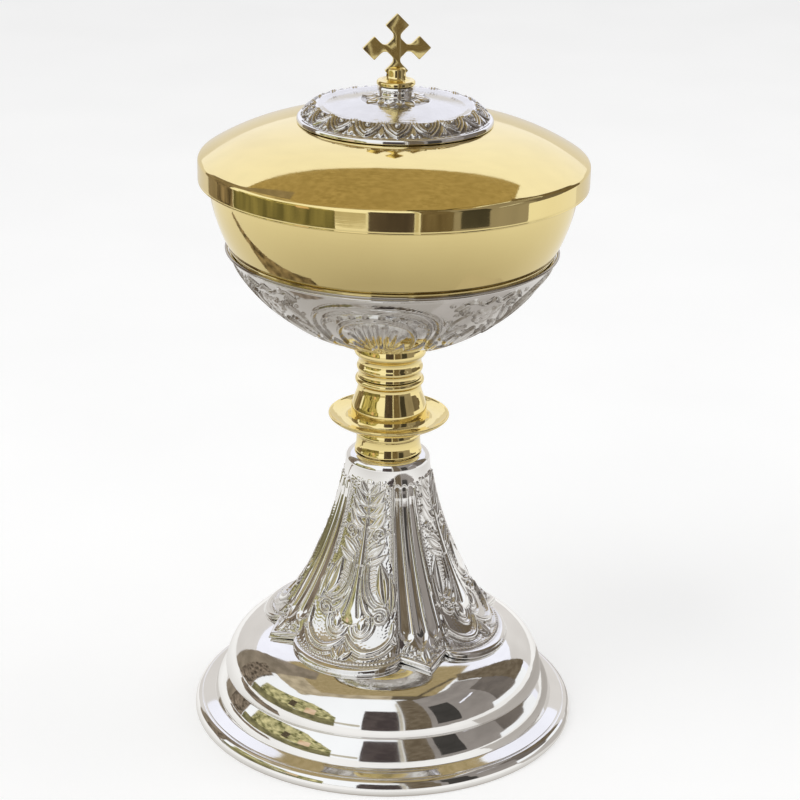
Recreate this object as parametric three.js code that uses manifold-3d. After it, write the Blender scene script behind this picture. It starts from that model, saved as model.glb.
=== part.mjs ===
// Ciborium: a lidded, footed bowl in gilt and silvered metal.
// Millimetres, +Z up, the table at z = 0, the vertical axis through the origin.
// Azimuth 0 faces -Y and grows towards +X.

import * as THREE from 'three';
import Module from 'manifold-3d';
import { mergeVertices } from 'three/addons/utils/BufferGeometryUtils.js';

// Driving dimensions

// Clearances
const SEAT_GAP = 0.3; // between faces that rest on each other
const ROD_CLEARANCE = 0.4; // round a rod in its hole
const SKIRT_CLEARANCE = 0.6; // between the lid's skirt and the bowl's rim bead

// Foot: a spun, hollow, stepped disc
const FOOT_RADIUS = 72.8;
const FOOT_RING_WIDTH = 3.6; // flat ring that stands on the table
const FOOT_RIM_WIDTH = 2.5; // rolled edge outside the ledge
const FOOT_RIM_HEIGHT = 5.6;
const FOOT_LEDGE_WIDTH = 5.3; // between the rolled edge and the lower moulding
const FOOT_LEDGE_RISE = 1.6;
const FOOT_STEP_RUN = 4.3; // lower moulding, between the ledge and the groove
const FOOT_STEP_RISE = 9.9;
const FOOT_STEP_BULGE = 0.8;
const FOOT_GROOVE_DEPTH = 0.5;
const FOOT_GROOVE_WIDTH = 0.8;
const FOOT_DOME_RISE = 21.5; // from the groove to the crown
const FOOT_DOME_SPREAD = 0.4; // the dome's curve would run on beyond the groove
const FOOT_DOME_SINK = 3.7; // and below it
const FOOT_WALL = 1.1;
const FOOT_SHOULDER = 12.4; // bare dome outside the stem's lobes

// Trumpet stem: cast, hollow, four embossed lobes and four fluted corners
const TRUMPET_RISE = 67.6; // from the foot's crown to the stem's top
const TRUMPET_FLARE = 24.8; // growth of its radius before the final curl
const TRUMPET_WALL = 1.2;
const TRUMPET_TOP_PLATE = 2.4;
const TRUMPET_SHOULDER = 3.1; // height of the rounded shoulder under the collar
const TRUMPET_TOP_LEDGE = 3.2; // reach of that shoulder beyond the collar
const TRUMPET_SIDES = 4;
const FIRST_CORNER_DEG = 22.5;
const CORNER_HALF_DEG = 13.5;
const CORNER_TIP_INSET = 1.3; // the fluted corners' tips, inside the lobes' reach
const CORNER_SWELL = 0.8; // the fluted corners stand proud of the lobes
const NOTCH_DEPTH = 8.6; // between a lobe and a tip
const FLUTE_COUNT = 3;
const FLUTE_DEPTH = 0.8;
const FLUTE_END = 0.86; // share of the stem's height where the flutes run out
const FACE_RELIEF = 0.95; // tallest embossed form on each lobe
const EDGE_ROPE = 0.5; // raised rope along the lobes' lower edge

// Gilt collars and knop
const COLLAR_RADIUS = 12.0;
const COLLAR_FLARE = 0.6;
const LOWER_COLLAR_HEIGHT = 9.2;
const UPPER_COLLAR_HEIGHT = 13.2;
const UPPER_COLLAR_FLARE = 1.4;
const KNOP_HEIGHT = 19.8;
const KNOP_BULB_SWELL = 2.0; // beyond the collars
const SAUCER_REACH = 8.5; // of the saucer lip beyond the bulb
const SAUCER_LIP = 0.9;
const KNOP_RING_SWELL = 0.8;
const KNOP_RING_HEIGHT = 2.6;

// Bowl
const BOWL_RADIUS = 66.9;
const BOWL_DEPTH = 69.3;
const BOWL_WALL = 1.0;
const BOWL_FLOOR_RADIUS = 18.0;
const RIM_BEAD = 1.5; // how far the rolled rim stands out
const RIM_BEAD_HEIGHT = 3.0;
const BOWL_DEPTH_POWER = 2.05;
const BOWL_WIDTH_POWER = 1.9;

// Calyx: the embossed silver cover round the bowl's lower half
const CALYX_WALL = 0.7;
const CALYX_HEIGHT = 34.5;
const CALYX_FLOOR_RADIUS = 13.4;
const CALYX_FLOOR_LIFT = 1.5; // flat floor above the curve's own lowest point
const CALYX_WIRE_RADIUS = 0.65;
const CALYX_ARCHES = 4;
const CALYX_ARCH_DEG = -6; // middle of the first shell arch
const CALYX_ARCH_HALF_DEG = 27;
const CALYX_ARCH_FOOT = 0.24; // share of the calyx's height where an arch springs
const CALYX_ARCH_RISE = 23.1;
const CALYX_RELIEF = 0.9;

// Lid
const LID_WALL = 1.0;
const LID_RISE = 14.6;
const LID_CURVE_POWER = 3.2;
const LID_SKIRT_HEIGHT = 8.3;
const LID_EDGE_ROUND = 0.8;
const LID_SEAT_WIDTH = 4.2;

// Plaque on the lid
const PLAQUE_RADIUS = 35.0;
const PLAQUE_RIM_WIDTH = 1.4;
const PLAQUE_RIM_HEIGHT = 1.7;
const PLAQUE_BORDER_WIDTH = 5.1; // from the rim in to the crest
const PLAQUE_BORDER_RISE = 4.3;
const PLAQUE_BORDER_BULGE = 0.4;
const PLAQUE_CREST_WIDTH = 3.3; // from the crest in to the plain field
const PLAQUE_CREST_DROP = 0.6;
const PLAQUE_CONE_RISE = 2.4;
const PLAQUE_HUB_RISE = 0.5;
const ROSETTE_REACH = 5.6; // of the leaves beyond the finial's collar
const ARCH_COUNT = 18;
const ARCH_RELIEF = 0.4;
const LEAF_COUNT = 8;
const LEAF_RELIEF = 0.5;

// Finial and cross
const FINIAL_COLLAR_RADIUS = 6.7;
const FINIAL_COLLAR_HEIGHT = 4.1;
const FINIAL_FLANGE_HEIGHT = 1.8;
const KNOB_RADIUS = 3.45;
const KNOB_HEIGHT = 5.0;
const KNOB_DOME_HEIGHT = 1.3;
const KNOB_SLOT_DEPTH = 3.6;
const CROSS_REACH = 12.2; // from the centre to each tip
const CROSS_THICKNESS = 1.6;
const CROSS_DIAMOND = 4.2; // half diagonal of each end
const CROSS_CENTRE = 4.8; // half diagonal of the middle
const CROSS_NECK = 1.4; // half width of each neck
const CROSS_LIFT = 6.2; // of its centre above the knob
const CROSS_TURN_DEG = 10; // of the cross and its slot about the axis

// Fixings
const ROD_RADIUS = 2.5;
const ROD_HEAD_RADIUS = 11.0;
const ROD_END = 2.0; // beyond the foot's nut
const FOOT_WASHER_RADIUS = 10.0;
const FOOT_WASHER_THICKNESS = 1.2;
const FOOT_NUT_FLATS = 8.5;
const FOOT_NUT_HEIGHT = 4.2;
const STUD_RADIUS = 1.9;
const STUD_END = 1.2; // beyond the lid's nut
const STUD_BITE = 2.4; // into the knob
const LID_WASHER_RADIUS = 6.0;
const LID_WASHER_THICKNESS = 1.1;
const LID_NUT_FLATS = 7.0;
const LID_NUT_HEIGHT = 3.0;

// Roundness of the solids
const LARGE_SEGMENTS = 48;
const SMALL_SEGMENTS = 24;
const KNOP_SEGMENTS = 32;
const FLUTE_SEGMENTS = 4; // across each flute
const LOBE_SEGMENTS = 16; // across each lobe
const CALYX_SEGMENTS = 96;
const PLAQUE_SEGMENTS = ARCH_COUNT * 4;

// Materials

const gilt = () => new THREE.MeshStandardMaterial({ color: 0xd9b14c, roughness: 0.12, metalness: 1 });
const silver = () => new THREE.MeshStandardMaterial({ color: 0xc9c7c2, roughness: 0.14, metalness: 1 });
const brass = () => new THREE.MeshStandardMaterial({ color: 0xb08d4a, roughness: 0.35, metalness: 1 });

// Helpers

const group = new THREE.Group();
group.name = 'ciborium';

function addMesh(name, geometry, material) {
  const mesh = new THREE.Mesh(geometry, material);
  mesh.name = name;
  group.add(mesh);
}

const lerp = (a, b, t) => a + (b - a) * t;

function steps(count) {
  return Array.from({ length: count + 1 }, (_, i) => i / count);
}

// Twice the signed area of a closed outline of [radius, height] points.
function turningSense(outline) {
  return outline.reduce((sum, [r, z], i) => {
    const [r2, z2] = outline[(i + 1) % outline.length];
    return sum + r * z2 - r2 * z;
  }, 0);
}

const anticlockwise = (outline) => (turningSense(outline) < 0 ? [...outline].reverse() : outline);

// Turns an outline of [radius, height] points about +Z.
// It starts and ends on the axis, or is closed here where it does not.
function turned(outline, segments) {
  const points = anticlockwise(outline).map(([r, z]) => new THREE.Vector2(r, z));
  const onAxis = outline.some(([r]) => r === 0);
  if (onAxis) {
    while (points[0].x !== 0 || points.at(-1).x !== 0) {
      points.push(points.shift());
    }
  } else {
    points.push(points[0].clone());
  }
  const geometry = new THREE.LatheGeometry(points, segments);
  geometry.rotateX(Math.PI / 2);
  return geometry;
}

const evenAzimuths = (segments) => Array.from({ length: segments }, (_, k) => (2 * Math.PI * k) / segments);

// A ring whose closed outline changes with the azimuth: outlineAt(azimuth) gives
// the same number of [radius, height] points each time.
function shapedRing(outlineAt, azimuths) {
  const positions = [];
  const indices = [];
  const segments = azimuths.length;
  const flip = turningSense(outlineAt(0)) < 0;
  let count = 0;
  for (const azimuth of azimuths) {
    const outline = outlineAt(azimuth);
    count = outline.length;
    for (const [r, z] of flip ? outline.reverse() : outline) {
      positions.push(r * Math.sin(azimuth), -r * Math.cos(azimuth), z);
    }
  }
  for (let k = 0; k < segments; k += 1) {
    const next = (k + 1) % segments;
    for (let i = 0; i < count; i += 1) {
      const j = (i + 1) % count;
      const a = k * count + i;
      const b = next * count + i;
      const c = next * count + j;
      const d = k * count + j;
      indices.push(a, b, d, b, c, d);
    }
  }
  const geometry = new THREE.BufferGeometry();
  geometry.setAttribute('position', new THREE.Float32BufferAttribute(positions, 3));
  geometry.setIndex(indices);
  return geometry;
}

// A flat plate in the X-Z plane, centred on y = 0.
function uprightPlate(points, thickness) {
  const shape = new THREE.Shape(points.map(([x, z]) => new THREE.Vector2(x, z)));
  const geometry = new THREE.ExtrudeGeometry(shape, { depth: thickness, bevelEnabled: false });
  geometry.translate(0, 0, -thickness / 2);
  geometry.rotateX(Math.PI / 2);
  return geometry;
}

function hexNut(flats, bore, height, bottom) {
  const corner = flats / Math.sqrt(3);
  const shape = new THREE.Shape();
  for (let i = 0; i < 6; i += 1) {
    const angle = (Math.PI * i) / 3;
    shape[i ? 'lineTo' : 'moveTo'](corner * Math.cos(angle), corner * Math.sin(angle));
  }
  shape.closePath();
  const hole = new THREE.Path();
  hole.absarc(0, 0, bore, 0, 2 * Math.PI, true);
  shape.holes.push(hole);
  const geometry = new THREE.ExtrudeGeometry(shape, {
    depth: height,
    bevelEnabled: false,
    curveSegments: SMALL_SEGMENTS,
  });
  geometry.translate(0, 0, bottom);
  return geometry;
}

const wasm = await Module();
wasm.setup();

function toSolid(geometry) {
  const bare = geometry.clone();
  bare.deleteAttribute('normal');
  bare.deleteAttribute('uv');
  const merged = mergeVertices(bare, 1e-4);
  return new wasm.Manifold(new wasm.Mesh({
    numProp: 3,
    vertProperties: new Float32Array(merged.attributes.position.array),
    triVerts: new Uint32Array(merged.index.array),
  }));
}

function toGeometry(solid) {
  const mesh = solid.getMesh();
  const geometry = new THREE.BufferGeometry();
  geometry.setAttribute('position', new THREE.Float32BufferAttribute(mesh.vertProperties, 3));
  geometry.setIndex(Array.from(mesh.triVerts));
  return geometry;
}

// Foot

const rodHole = ROD_RADIUS + ROD_CLEARANCE;
const ledgeEdge = FOOT_RADIUS - FOOT_RIM_WIDTH;
const stepOuter = ledgeEdge - FOOT_LEDGE_WIDTH;
const domeRadius = stepOuter - FOOT_STEP_RUN;
const stepBottom = FOOT_RIM_HEIGHT + FOOT_LEDGE_RISE;
const domeBottom = stepBottom + FOOT_STEP_RISE;
const crownTop = domeBottom + FOOT_DOME_RISE;

// Height of the flattened dome at a radius; inset moves it into the metal.
function domeHeight(r, inset) {
  const sunk = domeBottom - FOOT_DOME_SINK;
  const u = Math.min(r / (domeRadius + FOOT_DOME_SPREAD - inset), 1);
  return sunk + (crownTop - sunk - inset) * (1 - u ** 4) ** 0.42;
}

const footTopAt = (r) => domeHeight(r, 0);

function footStep(inset) {
  return steps(4).map((t) => [
    lerp(domeRadius, stepOuter, t) + FOOT_STEP_BULGE * Math.sin(Math.PI * t) - inset,
    lerp(domeBottom - FOOT_GROOVE_WIDTH / 2, stepBottom, t) - inset * 0.25,
  ]);
}

function footOutline() {
  const domeEdge = domeRadius + FOOT_DOME_SPREAD / 2;
  const outerDome = [0.33, 0.6, 0.76, 0.87, 0.94, 0.98, 1].map((s) => [s * domeEdge, footTopAt(s * domeEdge)]);
  const innerRadius = domeRadius - FOOT_WALL;
  const innerDome = [0.45, 0.7, 0.87, 0.96].map((s) => [s * innerRadius, domeHeight(s * innerRadius, FOOT_WALL)]);
  const ringInner = FOOT_RADIUS - FOOT_RING_WIDTH;
  const rim = (out, up) => [lerp(ledgeEdge, FOOT_RADIUS, out), FOOT_RIM_HEIGHT * up];
  return [
    [rodHole, crownTop],
    ...outerDome,
    [domeRadius - FOOT_GROOVE_DEPTH, domeBottom],
    ...footStep(0),
    rim(0, 1),
    rim(0.5, 0.87),
    rim(0.85, 0.62),
    rim(1, 0.3),
    rim(1, 0.1),
    rim(0.84, 0),
    [ringInner, 0],
    [ringInner, FOOT_RIM_HEIGHT - FOOT_WALL],
    ...footStep(FOOT_WALL).reverse(),
    ...innerDome.reverse(),
    [rodHole, crownTop - FOOT_WALL],
  ];
}

addMesh('base_foot', turned(footOutline(), LARGE_SEGMENTS), silver());

// Trumpet stem

const trumpetTop = crownTop + TRUMPET_RISE;
const trumpetNeck = trumpetTop - TRUMPET_SHOULDER;
const trumpetTopRadius = COLLAR_RADIUS + COLLAR_FLARE + TRUMPET_TOP_LEDGE;
const lobeRadius = domeRadius - FOOT_SHOULDER;
const tipRadius = lobeRadius - CORNER_TIP_INSET;
const notchRadius = lobeRadius - NOTCH_DEPTH;
const sector = (2 * Math.PI) / TRUMPET_SIDES;
const firstCorner = THREE.MathUtils.degToRad(FIRST_CORNER_DEG);
const cornerHalf = THREE.MathUtils.degToRad(CORNER_HALF_DEG);

// Signed angle from the middle of the nearest fluted corner.
function fromCorner(azimuth) {
  const turns = (azimuth - firstCorner) / sector;
  return (turns - Math.round(turns)) * sector;
}

// Closely spaced over the flutes, wider over the lobes.
function trumpetAzimuths() {
  const inCorner = steps(FLUTE_COUNT * FLUTE_SEGMENTS).map((t) => lerp(-cornerHalf, cornerHalf, t));
  const inLobe = steps(LOBE_SEGMENTS).slice(1, -1).map((t) => lerp(cornerHalf, sector - cornerHalf, t));
  return Array.from({ length: TRUMPET_SIDES }, (_, side) => firstCorner + side * sector)
    .flatMap((corner) => [...inCorner, ...inLobe].map((angle) => corner + angle));
}

// Reach of the stem's lower edge: pointed under the flutes, round under the lobes.
function edgeRadius(azimuth) {
  const angle = Math.abs(fromCorner(azimuth));
  if (angle < cornerHalf) {
    return lerp(notchRadius, tipRadius, (1 - angle / cornerHalf) ** 1.2);
  }
  const across = (sector / 2 - angle) / (sector / 2 - cornerHalf);
  return lerp(notchRadius, lobeRadius, Math.sqrt(Math.max(0, 1 - across ** 2)));
}

// The corners stand out, and flutes are cut in them.
function trumpetRelief(azimuth, t) {
  const angle = fromCorner(azimuth);
  const topFade = Math.min(1, t / 0.15);
  const swell = CORNER_SWELL * Math.cos((2 * Math.PI * angle) / sector) * Math.min(1, (1 - t) / 0.15);
  const inFlutes = Math.abs(angle) < cornerHalf;
  const wave = Math.cos((Math.PI * FLUTE_COUNT * (angle + cornerHalf)) / cornerHalf);
  const fluteFade = Math.min(1, Math.max(0, FLUTE_END - t) / 0.1);
  return topFade * (swell + (inFlutes ? fluteFade * FLUTE_DEPTH * (wave - 1) * 0.5 : 0));
}

// Embossed forms of one lobe, the same on both sides of its middle:
// share across, share down, half width, half length, share of the relief.
const faceForms = [
  [0, 0.16, 5.4, 9.5, 0.8], // spray of leaves
  [0, 0.42, 1.3, 12, 0.7], // stalk
  [0.44, 0.425, 4, 4.2, 0.75], // scrolled leaf
  [0, 0.67, 5, 8.5, 1], // bell
  [0.66, 0.61, 2.6, 7.5, 0.6], // side leaf
  [0.6, 0.765, 3.7, 3.7, 0.9], // volute
  [0.3, 0.81, 2.3, 4.2, 1], // drop
  [0.36, 0.905, 7.5, 1.9, 0.9], // shell frame
  [0, 0.93, 2.4, 3, 0.8], // leaf at the edge
];

// Height of the embossing; x is the distance round the lobe from its middle, down its share of the height.
function faceRelief(x, halfFace, down) {
  const tall = faceForms.map(([across, at, halfWidth, halfLength, share]) => {
    const d = Math.hypot((x - across * halfFace) / halfWidth, ((down - at) * TRUMPET_RISE * 1.15) / halfLength);
    return share * Math.sqrt(Math.max(0, 1 - d ** 2));
  });
  const fade = Math.min(1, Math.max(0, (1 - x / halfFace) / 0.06));
  return FACE_RELIEF * fade * Math.max(...tall);
}

function trumpetOutline(azimuth) {
  const reach = edgeRadius(azimuth);
  const edgeTop = footTopAt(reach) + SEAT_GAP + TRUMPET_WALL * 0.8;
  const curl = reach - trumpetTopRadius - TRUMPET_FLARE;
  const skin = (t) => [
    trumpetTopRadius + TRUMPET_FLARE * t ** 1.6 + curl * t ** 12 + trumpetRelief(azimuth, t),
    lerp(trumpetNeck, edgeTop, t),
  ];
  const fromMiddle = Math.max(0, sector / 2 - Math.abs(fromCorner(azimuth)));
  const lobeHalf = sector / 2 - cornerHalf;
  const embossed = (t) => {
    const [r, z] = skin(t);
    const [r2, z2] = skin(t - 0.02);
    const run = Math.hypot(r - r2, z2 - z);
    const rope = EDGE_ROPE * Math.min(1, Math.max(0, (t - 0.94) / 0.02)) * Math.min(1, (1 - t) / 0.01);
    const tall = Math.max(fromMiddle < lobeHalf ? faceRelief(fromMiddle * r, lobeHalf * r, t) : 0, rope);
    return [r + (tall * (z2 - z)) / run, z + (tall * (r - r2)) / run];
  };
  const rows = [0.06, 0.12, 0.18, 0.24, 0.3, 0.36, 0.42, 0.48, 0.54, 0.6, 0.66, 0.715, 0.765, 0.81, 0.85, 0.905];
  const outer = [skin(0), ...[...rows, 0.94, 0.975].map(embossed), skin(1)];
  const shoulder = [0, Math.PI / 6, Math.PI / 3].map((turn) => [
    lerp(trumpetTopRadius - TRUMPET_TOP_LEDGE, trumpetTopRadius, Math.sin(turn)),
    trumpetTop - TRUMPET_SHOULDER * (1 - Math.cos(turn)),
  ]);
  const inner = [0.06, 0.35, 0.65, 0.9].map((t) => {
    const [r, z] = skin(t);
    const [r2, z2] = skin(t + 0.02);
    const run = Math.hypot(r2 - r, z2 - z);
    const depth = TRUMPET_WALL + FLUTE_DEPTH * Math.min(1, t / 0.3);
    return [r - (depth * (z - z2)) / run, z - (depth * (r2 - r)) / run];
  });
  const insideEdge = reach - TRUMPET_WALL * 0.5;
  return [
    [rodHole, trumpetTop],
    ...shoulder,
    ...outer,
    [insideEdge, footTopAt(insideEdge) + SEAT_GAP],
    ...inner.reverse(),
    [inner.at(-1)[0], trumpetTop - TRUMPET_TOP_PLATE],
    [rodHole, trumpetTop - TRUMPET_TOP_PLATE],
  ];
}

addMesh('trumpet_stem', shapedRing(trumpetOutline, trumpetAzimuths()), silver());

// Lower collar, knop and upper collar

const lowerCollarBottom = trumpetTop + SEAT_GAP;
const lowerCollarTop = lowerCollarBottom + LOWER_COLLAR_HEIGHT;

function lowerCollarOutline() {
  const z = (share) => lerp(lowerCollarBottom, lowerCollarTop, share);
  return [
    [rodHole, z(0)],
    [COLLAR_RADIUS + COLLAR_FLARE, z(0)],
    [COLLAR_RADIUS + COLLAR_FLARE * 0.7, z(0.1)],
    [COLLAR_RADIUS + COLLAR_FLARE * 0.1, z(0.28)],
    [COLLAR_RADIUS - COLLAR_FLARE * 0.2, z(0.55)],
    [COLLAR_RADIUS, z(1)],
    [rodHole, z(1)],
  ];
}

addMesh('lower_collar', turned(lowerCollarOutline(), SMALL_SEGMENTS), gilt());

const knopBottom = lowerCollarTop + SEAT_GAP;
const knopTop = knopBottom + KNOP_HEIGHT;
const bulbRadius = COLLAR_RADIUS + KNOP_BULB_SWELL;
const saucerRadius = bulbRadius + SAUCER_REACH;

function knopOutline() {
  const ringRadius = COLLAR_RADIUS + KNOP_RING_SWELL;
  const ringBottom = knopTop - KNOP_RING_HEIGHT;
  const z = (share) => lerp(knopBottom, ringBottom, share);
  const saucer = (share) => lerp(bulbRadius, saucerRadius, share);
  return [
    [rodHole, z(0)],
    [COLLAR_RADIUS, z(0)],
    [saucer(0.15), z(0.035)],
    [saucer(0.55), z(0.105)],
    [saucer(0.86), z(0.195)],
    [saucer(1), z(0.262)],
    [saucer(0.97), z(0.262) + SAUCER_LIP * 0.7],
    [saucer(0.88), z(0.245) + SAUCER_LIP * 0.4],
    [saucer(0.6), z(0.175) + SAUCER_LIP * 0.5],
    [saucer(0.25), z(0.16) + SAUCER_LIP * 0.5],
    [saucer(0.06), z(0.25)],
    [bulbRadius, z(0.4)],
    [lerp(COLLAR_RADIUS, bulbRadius, 0.85), z(0.54)],
    [lerp(COLLAR_RADIUS, bulbRadius, 0.4), z(0.7)],
    [COLLAR_RADIUS - 0.1, z(0.85)],
    [COLLAR_RADIUS - 0.2, z(1)],
    [ringRadius - 0.2, lerp(ringBottom, knopTop, 0.2)],
    [ringRadius, lerp(ringBottom, knopTop, 0.5)],
    [ringRadius - 0.2, lerp(ringBottom, knopTop, 0.8)],
    [COLLAR_RADIUS, knopTop],
    [rodHole, knopTop],
  ];
}

addMesh('knop', turned(knopOutline(), KNOP_SEGMENTS), gilt());

const upperCollarBottom = knopTop + SEAT_GAP;
const upperCollarTop = upperCollarBottom + UPPER_COLLAR_HEIGHT;

function upperCollarOutline() {
  const z = (share) => lerp(upperCollarBottom, upperCollarTop, share);
  return [
    [rodHole, z(0)],
    [COLLAR_RADIUS, z(0)],
    [COLLAR_RADIUS - 0.4, z(0.07)],
    [COLLAR_RADIUS - 0.6, z(0.25)],
    [COLLAR_RADIUS - 0.3, z(0.45)],
    [COLLAR_RADIUS + UPPER_COLLAR_FLARE * 0.2, z(0.62)],
    [COLLAR_RADIUS + UPPER_COLLAR_FLARE * 0.75, z(0.8)],
    [COLLAR_RADIUS + UPPER_COLLAR_FLARE, z(1)],
    [rodHole, z(1)],
  ];
}

addMesh('upper_collar', turned(upperCollarOutline(), SMALL_SEGMENTS), gilt());

// Bowl

const calyxGrowth = SEAT_GAP + CALYX_WALL;
const calyxFloor = upperCollarTop + SEAT_GAP;
const bowlTop = calyxFloor - CALYX_FLOOR_LIFT + BOWL_DEPTH + calyxGrowth;

// Radius of the bowl's curve at a height; grow moves it out of the metal evenly.
function bowlRadiusAt(z, grow) {
  const u = Math.min(1, Math.max(0, (bowlTop - z) / (BOWL_DEPTH + grow)));
  return (BOWL_RADIUS + grow) * (1 - u ** BOWL_DEPTH_POWER) ** (1 / BOWL_WIDTH_POWER);
}

// Height of the same curve at a radius.
function bowlHeightAt(r, grow) {
  const share = Math.min(1, r / (BOWL_RADIUS + grow));
  return bowlTop - (BOWL_DEPTH + grow) * (1 - share ** BOWL_WIDTH_POWER) ** (1 / BOWL_DEPTH_POWER);
}

// Points up the curve between two heights, closer together near the floor.
function bowlCurve(low, high, grow, count) {
  return steps(count).map((t) => {
    const z = lerp(low, high, t ** 1.7);
    return [bowlRadiusAt(z, grow), z];
  });
}

const bowlFloor = bowlHeightAt(BOWL_FLOOR_RADIUS, 0);
const beadRadius = BOWL_RADIUS + RIM_BEAD;

function bowlOutline() {
  const beadBottom = bowlTop - RIM_BEAD_HEIGHT;
  return [
    [0, bowlFloor],
    ...bowlCurve(bowlFloor, beadBottom, 0, 8),
    [beadRadius - 0.2, lerp(beadBottom, bowlTop, 0.3)],
    [beadRadius, lerp(beadBottom, bowlTop, 0.6)],
    [beadRadius - 0.7, bowlTop],
    [BOWL_RADIUS - BOWL_WALL + 0.4, bowlTop],
    ...bowlCurve(bowlFloor + BOWL_WALL, bowlTop - 0.4, -BOWL_WALL, 7).reverse(),
    [0, bowlFloor + BOWL_WALL],
  ];
}

addMesh('cup_bowl', turned(bowlOutline(), LARGE_SEGMENTS), gilt());

// Calyx and its wire

const calyxTop = calyxFloor + CALYX_HEIGHT;

// Flower and leaves between two arches, the same on both sides of their middle:
// degrees from that middle, height above the calyx's floor, half width, half height, share of the relief.
const flowerForms = [
  [0, 23.2, 5, 4.6, 1], // flower
  [0, 13.3, 3.2, 5.5, 0.9], // leaf under it
  [11, 28.8, 5, 2, 0.9], // scroll over it
  [9, 18.3, 2.4, 2.6, 0.8],
  [11.5, 11.3, 3, 2.8, 0.8],
];

// Height of the embossing at degrees from the middle of the nearest arch.
function calyxRelief(degrees, r, z) {
  const spring = calyxFloor + CALYX_HEIGHT * CALYX_ARCH_FOOT;
  const up = Math.max(0, z - spring) / CALYX_ARCH_RISE;
  const level = Math.cbrt((degrees / CALYX_ARCH_HALF_DEG) ** 3 + up ** 3);
  const band = Math.sqrt(Math.max(0, 1 - ((level - 0.94) / 0.12) ** 2));
  const shell = 0.85 * Math.sqrt(Math.max(0, 1 - (level / 0.77) ** 4));
  const between = 180 / CALYX_ARCHES - degrees;
  const flowers = flowerForms.map(([at, height, halfWidth, halfHeight, share]) => {
    const x = r * THREE.MathUtils.degToRad(between - at);
    const d = Math.hypot(x / halfWidth, (z - calyxFloor - height) / halfHeight);
    return share * Math.sqrt(Math.max(0, 1 - d ** 2));
  });
  return CALYX_RELIEF * Math.max(band, shell, ...flowers);
}

function calyxOutline(azimuth) {
  const footCurve = CALYX_FLOOR_RADIUS * 1.55;
  const repeat = 360 / CALYX_ARCHES;
  const turns = (THREE.MathUtils.radToDeg(azimuth) - CALYX_ARCH_DEG) / repeat;
  const degrees = Math.abs(turns - Math.round(turns)) * repeat;
  const start = bowlHeightAt(footCurve, calyxGrowth);
  const outer = bowlCurve(start, calyxTop, calyxGrowth, 11).map(([r, z]) => {
    const fade = Math.min(1, (z - start) / 4, (calyxTop - z) / 1);
    return [r + fade * calyxRelief(degrees, r, z), z];
  });
  const inner = bowlCurve(bowlHeightAt(footCurve, SEAT_GAP), calyxTop, SEAT_GAP, 5);
  return [
    [rodHole, calyxFloor],
    [CALYX_FLOOR_RADIUS, calyxFloor],
    [CALYX_FLOOR_RADIUS * 1.27, calyxFloor + 0.9],
    ...outer,
    ...inner.reverse(),
    [CALYX_FLOOR_RADIUS * 1.24, calyxFloor + 0.8 + CALYX_WALL],
    [CALYX_FLOOR_RADIUS, calyxFloor + CALYX_WALL],
    [rodHole, calyxFloor + CALYX_WALL],
  ];
}

addMesh('calyx', shapedRing(calyxOutline, evenAzimuths(CALYX_SEGMENTS)), silver());

function calyxWireOutline() {
  const z = calyxTop + SEAT_GAP + CALYX_WIRE_RADIUS;
  const r = bowlRadiusAt(z + CALYX_WIRE_RADIUS, 0) + SEAT_GAP + CALYX_WIRE_RADIUS;
  return steps(6).slice(1).map((t) => [
    r + CALYX_WIRE_RADIUS * Math.cos(2 * Math.PI * t),
    z + CALYX_WIRE_RADIUS * Math.sin(2 * Math.PI * t),
  ]);
}

addMesh('calyx_wire', turned(calyxWireOutline(), LARGE_SEGMENTS), silver());

// Tie rod, washer and nut

const footWasherTop = crownTop - FOOT_WALL - SEAT_GAP;
const footWasherBottom = footWasherTop - FOOT_WASHER_THICKNESS;
const footNutBottom = footWasherBottom - SEAT_GAP - FOOT_NUT_HEIGHT;

function tieRodOutline() {
  const headBottom = calyxFloor + CALYX_WALL + SEAT_GAP;
  return [
    [0, footNutBottom - ROD_END],
    [ROD_RADIUS, footNutBottom - ROD_END],
    [ROD_RADIUS, headBottom],
    [ROD_HEAD_RADIUS, headBottom],
    [ROD_HEAD_RADIUS, bowlFloor - SEAT_GAP],
    [0, bowlFloor - SEAT_GAP],
  ];
}

function washerOutline(bore, radius, bottom, top) {
  return [
    [bore, bottom],
    [radius, bottom],
    [radius, top],
    [bore, top],
  ];
}

addMesh('tie_rod', turned(tieRodOutline(), SMALL_SEGMENTS), brass());
addMesh(
  'foot_washer',
  turned(washerOutline(rodHole, FOOT_WASHER_RADIUS, footWasherBottom, footWasherTop), SMALL_SEGMENTS),
  brass(),
);
addMesh('foot_nut', hexNut(FOOT_NUT_FLATS, rodHole, FOOT_NUT_HEIGHT, footNutBottom), brass());

// Lid

const skirtInner = beadRadius + SKIRT_CLEARANCE;
const lidRadius = skirtInner + LID_WALL;
const lidSeat = bowlTop + SEAT_GAP;
const lidEdge = lidSeat + LID_WALL - LID_RISE * (1 - (skirtInner / lidRadius) ** LID_CURVE_POWER) * 2;
const skirtBottom = lidEdge - LID_SKIRT_HEIGHT;
const studHole = STUD_RADIUS + ROD_CLEARANCE;

const lidTopAt = (r) => lidEdge + LID_RISE * (1 - (r / lidRadius) ** LID_CURVE_POWER);

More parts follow.
